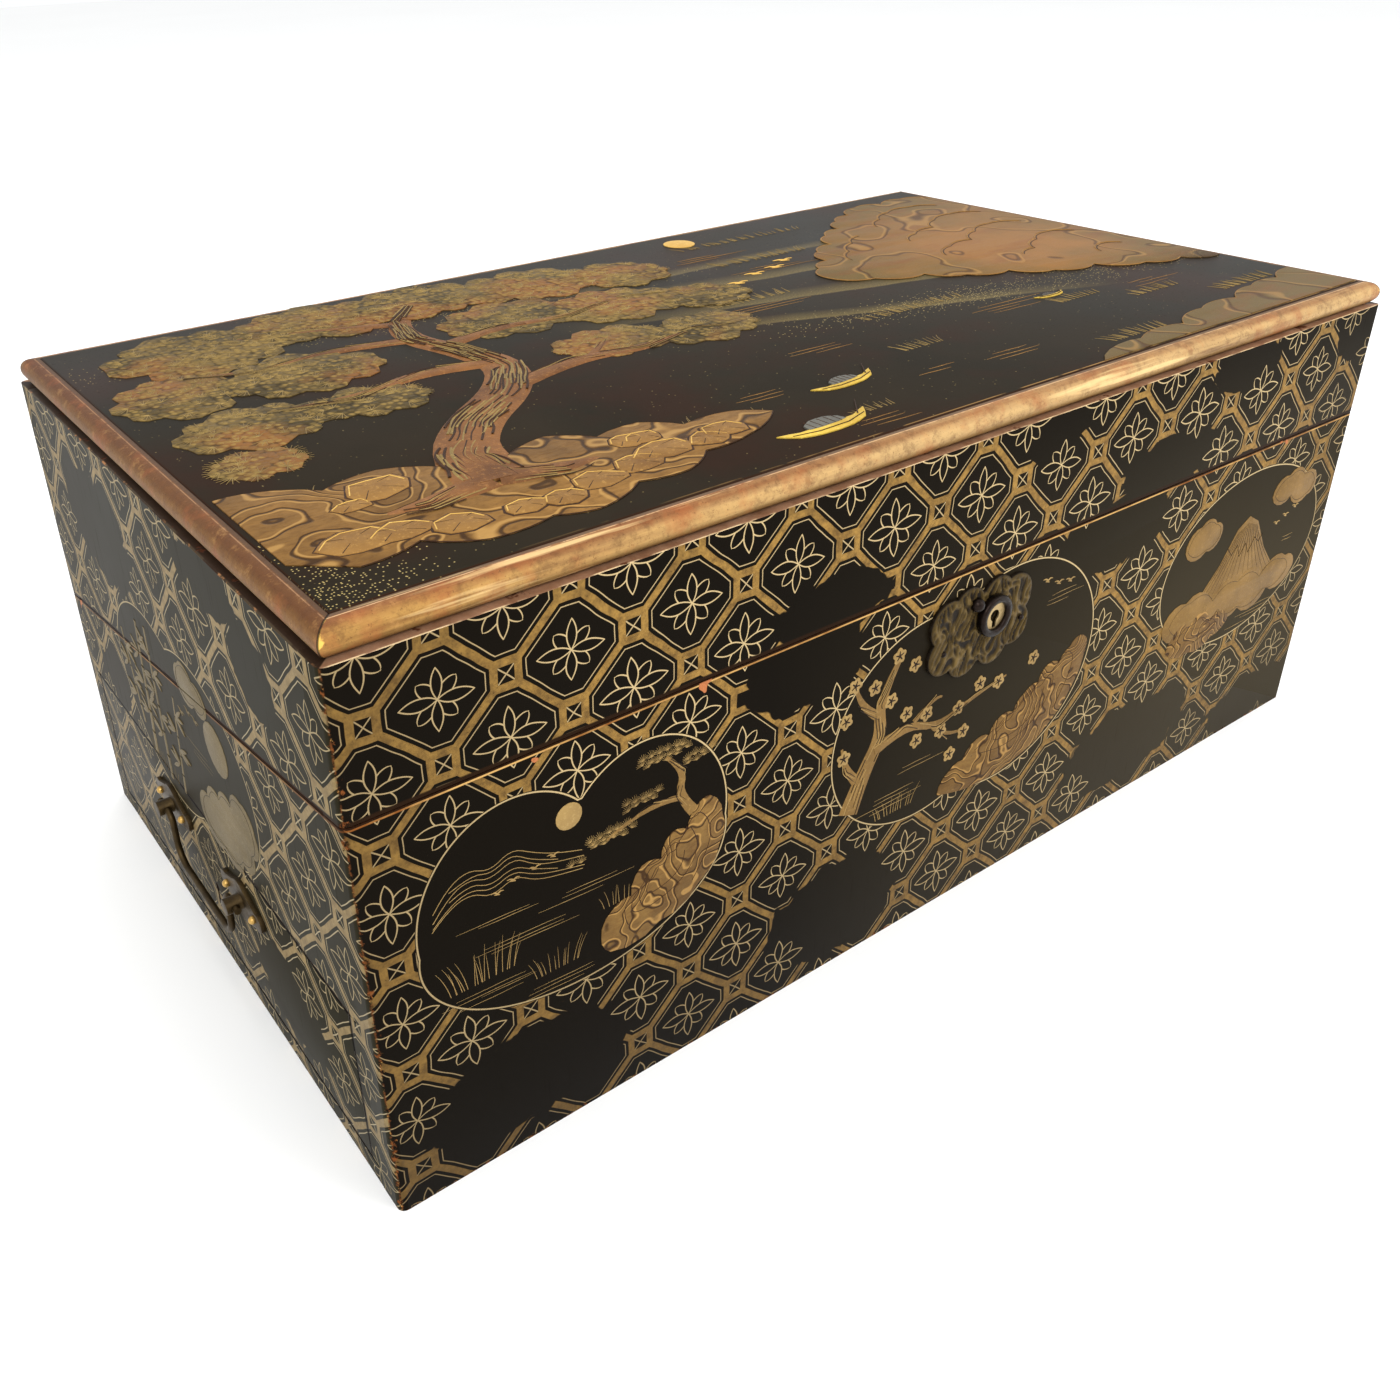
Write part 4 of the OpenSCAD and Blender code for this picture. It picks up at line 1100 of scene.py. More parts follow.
def blossom(relief, golds, middle, size, height):
    """A plum blossom: five round petals and a small heart."""
    petals, heart = golds
    fifth_turn = 1.2566
    tenth_turn = 0.628
    turned = relief.hand.uniform(0, 1.2)
    turns = [turned + fifth_turn * number for number in range(5)]
    relief.build_up(petals, [away(middle, turn, size * 0.62) for turn in turns], height, height * 0.4,
                    0.5, 4)
    stamens = [[(*middle, size * 0.1), (*away(middle, turn + tenth_turn, size * 0.5), size * 0.06)]
               for turn in turns]
    relief.draw(heart, stamens, 0.5, height, smooth=False)


def grass(relief, gold, tufts, width):
    """Tufts of blades, each given as its foot, its spread, its height and its number of blades."""
    hand = relief.hand
    for foot, spread, tall, count in tufts:
        blades = []
        for number in range(count):
            share = (number + 0.5) / count - 0.5 + hand.stray(0.04)
            root = (foot[0] + share * spread, foot[1])
            lean = share * 0.9 + hand.stray(0.2)
            height = tall * hand.uniform(0.55, 1.0)
            knee = (root[0] + lean * height * 0.3, root[1] + height * 0.6)
            tip = (knee[0] + lean * height * 0.6, root[1] + height)
            blades.append([(*root, width), (*knee, width * 0.8), (*tip, width * 0.3)])
        relief.draw(gold, blades, 0.6)


def ripples(relief, gold, runs, width, gap, slant=0.0):
    """Short wavering lines of water, each run given as its middle, its length and its rows."""
    hand = relief.hand
    for middle, length, rows in runs:
        lines = []
        for row in range(rows):
            long = length * hand.uniform(0.4, 1.0)
            left = middle[0] - long / 2 + hand.stray(0.2) * length
            up = middle[1] + (row - rows / 2) * gap
            lines.append([(left + long * step / 4, up + slant * long * step / 4 + hand.stray(0.12) * gap,
                           width * (1 - abs(step - 2) * 0.3)) for step in range(5)])
        relief.draw(gold, lines)


# A flying goose's wings and body: places across and up and the half width there, for a size of 1
WINGS = [(-1, 0.45, 0.05), (-0.4, 0.5, 0.12), (0, 0, 0.16), (0.5, 0.42, 0.12), (1, 0.2, 0.05)]
GOOSE_BODY = [(0.35, -0.22, 0.06), (0, -0.02, 0.15), (-0.5, 0.06, 0.04)]


def geese(relief, gold, leader, pitch, count, size):
    """Birds flying in a slant line."""
    lines = []
    for number in range(count):
        across = leader[0] + pitch[0] * number + relief.hand.stray(1) * size * 0.3
        up = leader[1] + pitch[1] * number + relief.hand.stray(1) * size * 0.4
        for shape in (WINGS, GOOSE_BODY):
            lines.append([(across + size * aside, up + size * lift, size * half)
                          for aside, lift, half in shape])
    relief.draw(gold, lines)


def moon(relief, gold, middle, reach, height, edge, count=16):
    relief.build_up(gold, ring(middle, reach, reach, count, relief.hand, 0), height, edge, 0.1)


def leaf(relief, gold, root, turn, length, half, height):
    relief.build_up(gold, [root, away(root, turn, length)], height, height * 0.4, half / length, 4)


def boat(relief, stern, turn, length, height):
    """A small moored boat seen from its side, with a grey mat roof over a bright hull."""
    along = Vector((math.cos(turn), math.sin(turn)))
    aside = Vector((-along.y, along.x))

    def placed(shape):
        return [(*(Vector(stern) + along * length * forward + aside * length * out), *half)
                for forward, out, *half in shape]

    hull = [(0, 0.15), (0.14, 0.02), (0.34, -0.03), (0.66, -0.03), (0.86, 0.03), (1, 0.19), (0.8, 0.11),
            (0.5, 0.08), (0.2, 0.1)]
    roof = [(0.3, 0.085), (0.5, 0.075), (0.7, 0.09), (0.68, 0.17), (0.58, 0.23), (0.42, 0.23),
            (0.31, 0.17)]
    ribs = [[(0.36 + number * 0.07, 0.08, 0.2), (0.36 + number * 0.07, 0.22, 0.2)]
            for number in range(5)]
    plank = [(0.1, 0.07, 0.2), (0.34, 0.02, 0.25), (0.66, 0.02, 0.25), (0.9, 0.09, 0.2)]
    pole = [(0.84, 0.1, 0.25), (1.06, 0.34, 0.12)]
    relief.build_up(lemon_gold, placed(hull), height, height * 0.4, 0.03, 2)
    relief.build_up(mat_grey, placed(roof), height + 0.1, 0.12, 0.03, 2)
    relief.draw(cleft_brown, [placed(line) for line in [*ribs, plank, pole]], 0.5, height + 0.1,
                smooth=False)


def bamboo(relief, gold, foot, top, width, joints, leaves, size, height):
    """A jointed stem with sprays of narrow leaves."""
    lines = []
    for number in range(joints):
        start = between(foot, top, (number + 0.05) / joints)
        end = between(foot, top, (number + 0.95) / joints)
        half = width * (1 - 0.45 * number / joints)
        lines.append([(*start, half * 1.12), (*between(start, end, 0.12), half),
                      (*between(start, end, 0.88), half), (*end, half * 1.12)])
    relief.draw(gold, lines, 0.2, sides=1, smooth=False)
    for number in range(leaves):
        knot = between(foot, top, 0.3 + 0.68 * number / leaves)
        way = 1 if number % 2 else -1
        for spoke in range(3):
            turn = math.pi / 2 - way * (1.1 + spoke * 0.45 + relief.hand.stray(0.2))
            leaf(relief, gold, (knot[0] + way * width, knot[1]), turn,
                 size * relief.hand.uniform(0.8, 1.1), size * 0.1, height + spoke * 0.012)


def cloud(relief, golds, corners, height, line):
    """A scalloped cloud with a fine line inside its edge."""
    body, bright = golds
    relief.build_up(body, corners, height, height * 0.4, 0.26)
    middle = middle_of(corners)
    inner = [between(corner, middle, 0.1) for corner in corners]
    relief.add(bright, scallop_line(inner + inner[:1], line, 0.2), height)


def scallop_line(corners, half, swell):
    """A fine raised line that bows out between its corners."""
    corners = [corner[:2] for corner in corners]
    lines = []
    for start, end in zip(corners, corners[1:]):
        side = Vector((*end, 0)) - Vector((*start, 0))
        crown = Vector((*between(start, end, 0.5), 0)) + outwards(side) * swell * 1.9
        lines.append([(*start, half * 0.7), (crown.x, crown.y, half), (*end, half * 0.7)])
    return strokes(lines, 0.6)


# Golds of the drawing: each with its tone, its shade, its flecks and its shine
bark_gold = relief_gold("bark_gold", (128, 84, 44), (92, 58, 30), (160, 112, 60), 0.25)
needle_gold = relief_gold("needle_gold", (142, 118, 68), (110, 90, 52), (176, 150, 92), 0.35)
rock_gold = relief_gold("rock_gold", (142, 104, 52), (112, 78, 38), (172, 132, 70), 0.3)
bright_gold = relief_gold("bright_gold", (214, 174, 90), (186, 144, 70), (236, 204, 124))
cleft_brown = relief_gold("cleft_brown", (58, 36, 20), (42, 26, 15), (84, 52, 30), 0.15)
leaf_gold = relief_gold("leaf_gold", (128, 98, 52), (96, 72, 38), (152, 120, 66), 0.3)
lemon_gold = relief_gold("lemon_gold", (204, 172, 70), (174, 140, 54), (226, 200, 104), 0.3)
mat_grey = relief_gold("mat_grey", (98, 96, 88), (78, 76, 70), (124, 120, 108), 0.1)
fine_gold = relief_gold("fine_gold", (156, 128, 78), (130, 104, 62), (178, 150, 98), 0.3)
pale_gold = relief_gold("pale_gold", (108, 94, 66), (90, 78, 54), (126, 112, 82), 0.1)
dark_line = relief_gold("dark_line", (40, 28, 16), (30, 20, 12), (60, 42, 24), 0.1)


def contours(paint, scale, levels, half):
    """Sinuous engraved lines like a map's contours: 1 on the line, and the same a little beside it."""
    rise = paint.noise(scale, 2.0, rough=0.45) * levels
    part = rise - paint.maths("ROUND", rise)
    return (abs(part) - half).within(half), (abs(part - half * 3) - half).within(half)


def hill_paint(name, foot, rise, lit=(138, 96, 50), deep=(98, 80, 46), edge=(116, 66, 36)):
    """Gold dusted over raised land, warm in the middle and thinning into the dark towards its foot."""
    paint = Paint(name, Specular_IOR_Level=0.06)
    cloud = paint.noise(0.03, 4.0, rough=0.6)
    powder = paint.noise(1.6, 3.0, rough=0.8)
    streak = paint.noise(0.09, 4.0, stretch=(0.25, 1.0, 1.0), rough=0.7)
    line, beside = contours(paint, 0.018, 7, 0.035)
    along = (paint.y - foot + (cloud - 0.5) * 26).over(0, rise)
    thin = (along * 1.2 - powder).within(0.25)
    warm = (1 - abs(paint.x - 160) / 110) * (1 - abs(paint.y - 20) / 100) + (cloud - 0.5) * 1.2
    colour = paint.coats(deep, (warm.over(0.1, 0.8), lit), (streak.over(0.5, 0.66) * 0.4, edge),
                         (powder.over(0.5, 0.7) * 0.3, (150, 120, 70)), (line * 0.7, (70, 44, 24)),
                         (beside * 0.45, (166, 126, 70)), (thin * 0.75, (50, 36, 24)))
    return paint.finish(Base_Color=colour, Metallic=0.3 - thin * 0.25, Roughness=0.45 + powder * 0.16,
                        height=powder * 0.08 + cloud * 0.5 + streak * 0.2 - line * 0.15)


def rock_paint(name, scale, levels, lit, deep):
    """Raised gold ground with sinuous dark clefts, a light line beside each."""
    paint = Paint(name, Specular_IOR_Level=0.06)
    line, beside = contours(paint, scale, levels, 0.07)
    cloud = paint.noise(scale * 1.6, 4.0, rough=0.6)
    grain = paint.noise(0.7, 4.0, rough=0.7, stretch=(0.4, 1.0, 1.0))
    colour = paint.coats(lit, (cloud.over(0.34, 0.66), deep), (grain.over(0.45, 0.68) * 0.5, (84, 56, 30)),
                         (beside * 0.6, (178, 138, 78)), (line * 0.85, (48, 30, 17)))
    return paint.finish(Base_Color=colour, Metallic=0.25, Roughness=0.45 + grain * 0.2,
                        height=grain * 0.15 - line * 0.25 + cloud * 0.4)


def foliage_paint(name):
    """Raised olive gold, stippled like massed leaves, orange here and there."""
    paint = Paint(name, Specular_IOR_Level=0.05)
    leaves = 0.42
    near = paint.cells(leaves)
    chance = paint.cell_chance(leaves)
    mass = paint.noise(0.04, 4.0, rough=0.6)
    lit = (near - 0.4).within(0.3) * chance.over(0.35, 0.9)
    colour = paint.coats((106, 86, 48), (mass.over(0.36, 0.62), (66, 55, 32)),
                         (paint.noise(0.022, 3.0).over(0.5, 0.62) * 0.8, (128, 84, 44)),
                         (lit * 0.7, (146, 120, 66)), (near.over(0.55, 0.8) * 0.6, (40, 32, 20)))
    return paint.finish(Base_Color=colour, Metallic=0.2, Roughness=0.5 + chance * 0.15,
                        height=(0.8 - near) * 0.35 + mass * 0.3)


far_hill_gold = hill_paint("far_hill_gold", -80, 60)
near_bank_gold = hill_paint("near_bank_gold", -132, 20)
stone_gold = rock_paint("stone_gold", 0.028, 14, (140, 102, 52), (106, 76, 38))
land_gold = rock_paint("land_gold", 0.045, 16, (126, 96, 52), (92, 68, 38))
leafage = foliage_paint("leafage")
WALL_GOLDS = (leaf_gold, fine_gold, dark_line)
CLOUD_GOLDS = (leaf_gold, dark_line)
GROUND_GOLDS = (land_gold, cleft_brown)


def bark(relief, golds, paths, flat):
    """A trunk or boughs with furrows along them."""
    body, light, dark = golds
    for path in paths:
        relief.draw(body, [path], flat, sides=3)
        furrows = {light: [], dark: []}
        thick = path[0][2]
        steps = 5 * (len(path) - 1)
        count = max(3, round(thick * 1.6))
        for number in range(count):
            share = -0.8 + 1.6 * (number + 0.5) / count
            run = [furrow_place(relief.hand, path, step, share) for step in range(steps)]
            for first in range(relief.hand.randrange(0, 4), steps - 3, 7):
                furrows[light if number % 2 else dark].append(run[first:first + 5])
        for gold, lines in furrows.items():
            relief.draw(gold, [line for line in lines if len(line) > 2], 0.5, thick * flat * 0.62)


def furrow_place(hand, path, step, share):
    """A place along a furrow that runs at that share of the bough's half width."""
    place, part = divmod(step, 5)
    across, up, half = between(path[place], path[place + 1], part / 5)
    way = (Vector(path[place + 1]) - Vector(path[place])).xy.normalized()
    aside = share * half + hand.stray(0.08) * half
    return across - way.y * aside, up + way.x * aside, 0.035 * half + 0.1


def lid_picture():
    """An old pine on rocks by the water, wooded land across it, the moon and wild geese."""
    relief = Relief("top", 11)
    tree = (bark_gold, needle_gold, cleft_brown)
    crown = (leafage, needle_gold)
    for number, (across, up, wide, high) in enumerate((
        (-170, 86, 32, 24), (-122, 96, 30, 18), (-76, 96, 30, 18), (-32, 90, 30, 20), (8, 78, 20, 16),
        (-194, 46, 18, 20), (-152, 42, 26, 18), (-62, 52, 26, 18), (-22, 42, 26, 17), (14, 30, 17, 13),
        (-184, 4, 24, 16), (-146, 2, 18, 12), (-52, 4, 22, 13), (-14, -4, 22, 13), (-196, -26, 14, 10),
    )):
        leaf_mass(relief, crown, (across, up), wide, high, 0.2 + number * 3 % 7 * 0.03, 0.16)
    trunk = [(-150, -80, 13), (-148, -58, 10), (-132, -36, 9), (-108, -18, 8.5), (-94, 4, 7.5),
             (-98, 30, 6.5), (-106, 52, 5.5), (-100, 76, 4), (-82, 96, 2.2)]
    bark(relief, tree, [trunk], 0.09)
    bark(relief, tree, [
        [(-102, -14, 4.6), (-74, -4, 3.6), (-46, -10, 2.8), (-20, -2, 2), (0, -10, 1)],
        [(-95, 10, 4.8), (-120, 18, 3.6), (-150, 6, 2.6), (-184, 14, 1)],
        [(-100, 38, 4), (-74, 46, 3), (-46, 40, 2.4), (-16, 50, 1.6), (8, 42, 0.8)],
        [(-106, 52, 3.8), (-134, 60, 2.8), (-164, 52, 2), (-192, 64, 1)],
        [(-99, 78, 3), (-66, 84, 2.2), (-34, 98, 1)],
        [(-103, 74, 3), (-130, 88, 2.2), (-164, 96, 1)],
        [(-66, -5, 2.4), (-52, 8, 1.6), (-36, 12, 0.8)],
        [(-152, -78, 7), (-172, -84, 4.4), (-190, -80, 1.6)],
        [(-148, -78, 7), (-130, -86, 4.4), (-112, -82, 1.6)],
    ], 0.16)
    shore = [(-216, -92, 0), (-202, -104), (-184, -100), (-170, -110), (-150, -108), (-138, -112),
             (-120, -104), (-104, -106), (-92, -98), (-74, -96), (-56, -86), (-66, -78), (-84, -78),
             (-94, -68), (-110, -70), (-122, -60), (-138, -66), (-156, -62), (-172, -52), (-190, -56),
             (-204, -46), (-216, -44, 0)]
    relief.build_up(stone_gold, shore, 0.4, 0.15, 0.07, 3)
    relief.add(cleft_brown, scallop_line(shore[1:21], 0.3, 0.07), 0.3)
    stones = (rock_gold, bright_gold, cleft_brown)
    for start, end, count, size in (
        ((-204, -90), (-120, -100), 6, 11), ((-116, -94), (-72, -90), 4, 10),
        ((-196, -68), (-172, -66), 2, 9), ((-112, -80), (-94, -78), 2, 8),
    ):
        rock_pile(relief, stones, start, end, count, size, 0.6, 0.24)
    feet = [(-200, -60), (-178, -66), (-122, -72), (-88, -82), (-66, -88)]
    grass(relief, needle_gold, [(foot, 14, 10, 11) for foot in feet], 0.22)
    boat(relief, (-70, -109), 0.04, 38, 0.5)
    boat(relief, (-34, -84), 0.1, 30, 0.45)
    boat(relief, (104, -58), 0.0, 17, 0.35)
    hill = [(216, -62, 0), (216, 98), (202, 106), (186, 103), (170, 106), (156, 96), (142, 90), (132, 78),
            (118, 72), (108, 58), (94, 52), (86, 38), (74, 30), (66, 16), (80, 4), (100, -4), (112, -16),
            (130, -22), (144, -34), (164, -38), (182, -50), (200, -54)]
    relief.build_up(far_hill_gold, hill, 0.4, 0.2, 0.2)
    relief.add(rock_gold, scallop_line(hill[1:], 0.5, 0.2), 0.3)
    for contour in (
        [(204, 84), (190, 90), (174, 88), (160, 80), (148, 70)],
        [(208, 60), (194, 66), (178, 62), (166, 52), (150, 48), (138, 40)],
        [(128, 62), (116, 54), (104, 44), (94, 32)],
        [(206, 34), (190, 40), (174, 34), (160, 24), (144, 22), (130, 12)],
        [(208, 6), (196, 12), (182, 6), (168, -4), (156, -8)],
        [(204, -22), (194, -18), (184, -26)],
    ):
        cleft = [(across, up - 1.2) for across, up in contour]
        relief.add(rock_gold, scallop_line(contour, 0.55, 0.14), 0.38)
        relief.add(cleft_brown, scallop_line(cleft, 0.35, 0.14), 0.38)
    bank = [(60, -119, 0), (216, -119, 0), (216, -92), (198, -98), (180, -98), (160, -104), (138, -104),
            (116, -111), (90, -112)]
    relief.build_up(near_bank_gold, bank, 0.4, 0.15, 0.12)
    relief.add(rock_gold, scallop_line(bank[2:], 0.35, 0.12), 0.28)
    moon(relief, bright_gold, (58, 104), 7, 0.3, 0.1)
    grass(relief, needle_gold, [
        ((22, 12), 40, 9, 23), ((70, 60), 50, 9, 27), ((86, 92), 70, 8, 33), ((62, -36), 52, 9, 27),
        ((28, -70), 20, 8, 13), ((118, -66), 24, 8, 15), ((-30, -104), 16, 6, 11), ((150, -78), 26, 8, 15),
        ((186, -94), 34, 9, 19), ((96, -108), 30, 8, 17),
    ], 0.25)
    ripples(relief, rock_gold, [
        ((-50, -72), 30, 3), ((0, -48), 26, 3), ((48, -92), 30, 3), ((92, -54), 40, 4), ((-34, -110), 22, 3),
        ((160, -66), 34, 3), ((14, -88), 20, 2), ((18, 4), 50, 3), ((60, 48), 44, 3), ((52, 78), 40, 3),
    ], 0.24, 2.6, -0.03)
    geese(relief, bright_gold, (36, 36), (13, 5), 4, 5)
    relief.lay("lid_picture", "lid")


def heart_picture():
    """A pine leaning from a crag, far hills, reeds and geese."""
    relief = Relief("front", 21)
    ground = [(-150, 57), (-132, 59), (-117, 66), (-109, 77), (-108, 88), (-113, 97), (-118, 95), (-121, 88),
              (-127, 90), (-131, 82), (-138, 83), (-142, 74), (-149, 72), (-153, 64)]
    crag(relief, GROUND_GOLDS, ground, 0.14, 0.15, 5)
    bark(relief, WALL_GOLDS, [
        [(-119, 94, 1.9), (-125, 102, 1.5), (-122, 110, 1.1), (-129, 117, 0.6)],
        [(-124, 101, 1.1), (-136, 104, 0.8), (-150, 98, 0.4)],
    ], 0.12)
    pine_pads(relief, fine_gold, [
        (-130, 118, 9, 2.6), (-118, 113, 6, 2), (-138, 106, 7, 2.2), (-149, 99, 8, 2.4), (-160, 95, 4, 1.4),
    ], 2.6, 0.1)
    moon(relief, fine_gold, (-162, 112), 4.2, 0.1, 0.04, 14)
    ridge = [(-205, 100), (-200, 106), (-193, 109), (-187, 106), (-180, 110), (-174, 105), (-166, 101),
             (-158, 99)]
    hill_lines(relief, fine_gold, ridge, 1.9, 6, 0.11)
    grass(relief, fine_gold, [((-192, 70), 22, 13, 19)], 0.11)
    grass(relief, fine_gold, [((-168, 61), 16, 9, 13), ((-146, 74), 12, 7, 9)], 0.1)
    ripples(relief, fine_gold, [
        ((-186, 66), 34, 4), ((-176, 80), 38, 3), ((-158, 86), 30, 3), ((-170, 57), 26, 3),
        ((-184, 90), 24, 2),
    ], 0.1, 1.3, -0.05)
    geese(relief, fine_gold, (-186, 97), (6, 1.6), 4, 2)
    relief.lay("heart_picture", "base")


def lobed_picture():
    """A plum tree in flower over a stream, with a bank of cloud."""
    relief = Relief("front", 22)
    bank = [(-10, 50, 0.02), (6, 46, 0.02), (24, 46, 0.02), (42, 51, 0.02), (55, 61, 0.02), (63, 74, 0.02),
            (65, 86), (60, 90), (55, 87), (50, 82), (44, 84), (39, 78), (32, 76), (27, 70), (20, 71),
            (15, 65), (8, 66), (2, 60), (-5, 58)]
    crag(relief, GROUND_GOLDS, bank, 0.13, 0.14, 4)
    trunk = [(-54, 62, 4.6), (-49, 75, 3.6), (-41, 88, 3), (-44, 101, 2.2), (-36, 114, 1.2)]
    bark(relief, WALL_GOLDS, [trunk], 0.05)
    bark(relief, WALL_GOLDS, [
        [(-44, 83, 2.4), (-30, 88, 1.7), (-14, 80, 1.2), (4, 86, 0.8), (20, 88, 0.4)],
        [(-43, 96, 1.8), (-54, 104, 1.1), (-55, 114, 0.5)],
        [(-26, 87, 1.2), (-16, 94, 0.7), (-13, 92, 0.4)],
        [(-16, 81, 1), (-8, 73, 0.7), (2, 74, 0.4)],
        [(-50, 73, 2.2), (-57, 80, 1.2), (-59, 90, 0.5)],
    ], 0.12)
    for place in ((-36, 116), (-28, 110), (-46, 108), (-55, 112), (-58, 100), (-30, 92), (-20, 88),
                  (-12, 78), (-4, 84), (6, 90), (0, 73), (16, 87), (-6, 66), (-58, 86), (-38, 100),
                  (-24, 79), (34, 90)):
        blossom(relief, (fine_gold, dark_line), place, 3.6, 0.16)
    ripples(relief, fine_gold, [((-28, 60), 40, 4), ((-20, 70), 24, 2), ((44, 112), 20, 3)], 0.13, 1.7)
    grass(relief, fine_gold, [((-32, 53), 18, 8, 13)], 0.13)
    geese(relief, fine_gold, (36, 120), (6.5, -2.4), 3, 2.6)
    relief.lay("lobed_picture", "base")


def round_picture():
    """A high cone mountain above mist, with pines and a few birds."""
    relief = Relief("front", 23)
    slopes = [(120, 70), (204, 70), (190, 77), (178, 90), (169, 104), (162, 108), (155, 104), (147, 91),
              (135, 78)]
    relief.build_up(leaf_gold, slopes, 0.12, 0.05)
    gullies = []
    for number in range(15):
        share = number / 14 - 0.5
        gullies.append([(162 + share * 13, 105 - abs(share) * 5, 0.12),
                        (162 + share * 26, 96 - abs(share) * 10, 0.16),
                        (162 + share * 56, 82 - abs(share) * 12, 0.06)])
    relief.draw(dark_line, gullies, 0.5, 0.12)
    snow = [(150.5, 97), (154, 93), (157, 97), (160, 91), (163, 96), (166, 91), (169, 97), (172.5, 94),
            (174.5, 97)]
    relief.draw(dark_line, [[(*place, 0.2) for place in snow]], 0.5, 0.14, smooth=False)
    for bank in (
        [(114, 72), (132, 66), (152, 69), (168, 65), (188, 68), (206, 73), (198, 80), (182, 76), (164, 79),
         (146, 75), (128, 80)],
        [(176, 112), (190, 109), (203, 106), (208, 112), (198, 117), (186, 119)],
        [(120, 104), (134, 101), (143, 106), (138, 112), (128, 113)],
    ):
        cloud(relief, CLOUD_GOLDS, bank, 0.18, 0.12)
    ground = [(120, 60), (136, 55), (152, 57), (162, 62), (156, 68), (148, 66), (142, 72), (134, 68),
              (127, 70)]
    crag(relief, GROUND_GOLDS, ground, 0.2, 0.14, 3)
    bark(relief, WALL_GOLDS, [[(144, 66, 1.5), (142, 74, 1.1), (149, 80, 0.6)]], 0.14)
    pine_pads(relief, fine_gold, [(137, 78, 7, 2.5), (149, 83, 7, 2.5), (152, 73, 5, 2)], 2.3, 0.1)
    ripples(relief, fine_gold, [((182, 61), 26, 3), ((168, 57), 18, 1), ((196, 90), 16, 2)], 0.13, 1.6)
    geese(relief, fine_gold, (184, 98), (6, 2), 3, 2.4)
    relief.lay("round_picture", "base")


def end_cuts(side):
    """Where an end's drawing is divided between the lid, the case and the drawer."""
    line = Vector((hinge_y * side, hinge_z, 0))
    up = Vector((side * split_rise, 1, 0)).normalized()
    gap = up * split_gap / 2
    drawer_top = Vector((0, drawer_high.z, 0))
    rail = Vector((0, 1, 0))
    above = (line + gap, -up)
    below = (line - gap, up)
    over_drawer = (drawer_top + rail * 0.3, -rail)
    on_drawer = (drawer_top, rail)
    return above, below, over_drawer, on_drawer


def left_picture():
    """Bamboo by moonlight over a bank of cloud."""
    relief = Relief("left", 31)
    for foot, top, width, joints, leaves, height in (
        ((-44, 66), (-34, 124), 1.5, 6, 6, 0.16), ((-30, 62), (-24, 126), 1.3, 6, 5, 0.2),
        ((-52, 74), (-56, 112), 1.0, 5, 4, 0.24), ((-16, 64), (-6, 108), 0.9, 5, 4, 0.28),
    ):
        bamboo(relief, pale_gold, foot, top, width, joints, leaves, 9, height)
    moon(relief, pale_gold, (32, 108), 9, 0.14, 0.05)
    bank = [(2, 68), (20, 63), (38, 68), (50, 78), (55, 90), (46, 97), (36, 90), (24, 86), (12, 80)]
    wisp = [(4, 118), (18, 116), (30, 120), (20, 126), (8, 127)]
    cloud(relief, (pale_gold, dark_line), bank, 0.14, 0.14)
    cloud(relief, (pale_gold, dark_line), wisp, 0.14, 0.13)
    grass(relief, pale_gold, [((-34, 64), 26, 8, 15)], 0.14)
    ripples(relief, pale_gold, [((14, 96), 26, 3)], 0.14, 1.8)
    geese(relief, pale_gold, (2, 106), (7, 2), 3, 3)
    above, below, over_drawer, on_drawer = end_cuts(-1)
    relief.lay("left_picture_lid", "lid", [above])
    relief.lay("left_picture_case", "base", [below, over_drawer])
    relief.lay("left_picture_drawer", "drawer", [on_drawer])


def right_picture():
    """Reeds and the moon, with geese coming down."""
    relief = Relief("right", 32)
    moon(relief, leaf_gold, (36, 112), 9, 0.14, 0.05)
    tufts = [((-36, 66), 30, 30, 21), ((-10, 62), 24, 20, 17), ((38, 70), 20, 16, 13)]
    grass(relief, fine_gold, tufts, 0.3)
    wisp = [(-46, 112), (-28, 108), (-14, 112), (-4, 118), (-16, 124), (-32, 122)]
    cloud(relief, CLOUD_GOLDS, wisp, 0.14, 0.13)
    rock_pile(relief, WALL_GOLDS, (8, 70), (34, 68), 5, 9, 0.2, 0.16)
    ripples(relief, fine_gold, [((-20, 70), 50, 3), ((34, 84), 34, 3), ((-30, 96), 26, 2)], 0.14, 2)
    geese(relief, fine_gold, (-14, 98), (9, 3.4), 4, 4)
    above, below = end_cuts(1)[:2]
    relief.lay("right_picture_lid", "lid", [above])
    relief.lay("right_picture_case", "base", [below])


lid_picture()
heart_picture()
lobed_picture()
round_picture()
left_picture()
right_picture()


# Metalwork, and how far apart its cast face is divided, in millimetres
CAST_STEP_ACROSS = 0.45
CAST_STEP_UP = 0.5


def cast_escutcheon():
    """The escutcheon with its cast surface, cut into small squares that follow it."""
    bm = copy_of("escutcheon")
    low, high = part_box("escutcheon")
    for axis, step in ((0, CAST_STEP_ACROSS), (2, CAST_STEP_UP)):
        way = Vector((0, 0, 0))
        way[axis] = 1
        for number in range(1, int((high[axis] - low[axis]) / MM / step)):
            place = low.copy()
            place[axis] += number * step * MM
            cut(bm, place, way)
    front = [vert for vert in bm.verts if vert.co.y < low.y + 0.01 * MM]
    rim = [vert.co.copy() for vert in front if any(other.co.y > low.y + 0.5 * MM
                                                   for edge in vert.link_edges for other in edge.verts)]
    for vert in front:
        depth = min((vert.co - place).length for place in rim) / MM
        vert.co.y -= cast_height(vert.co.x / MM, vert.co.z / MM, depth) * MM
    keep(bm, "escutcheon_cast", [cast_brass], body_of("escutcheon"), 50, "escutcheon")


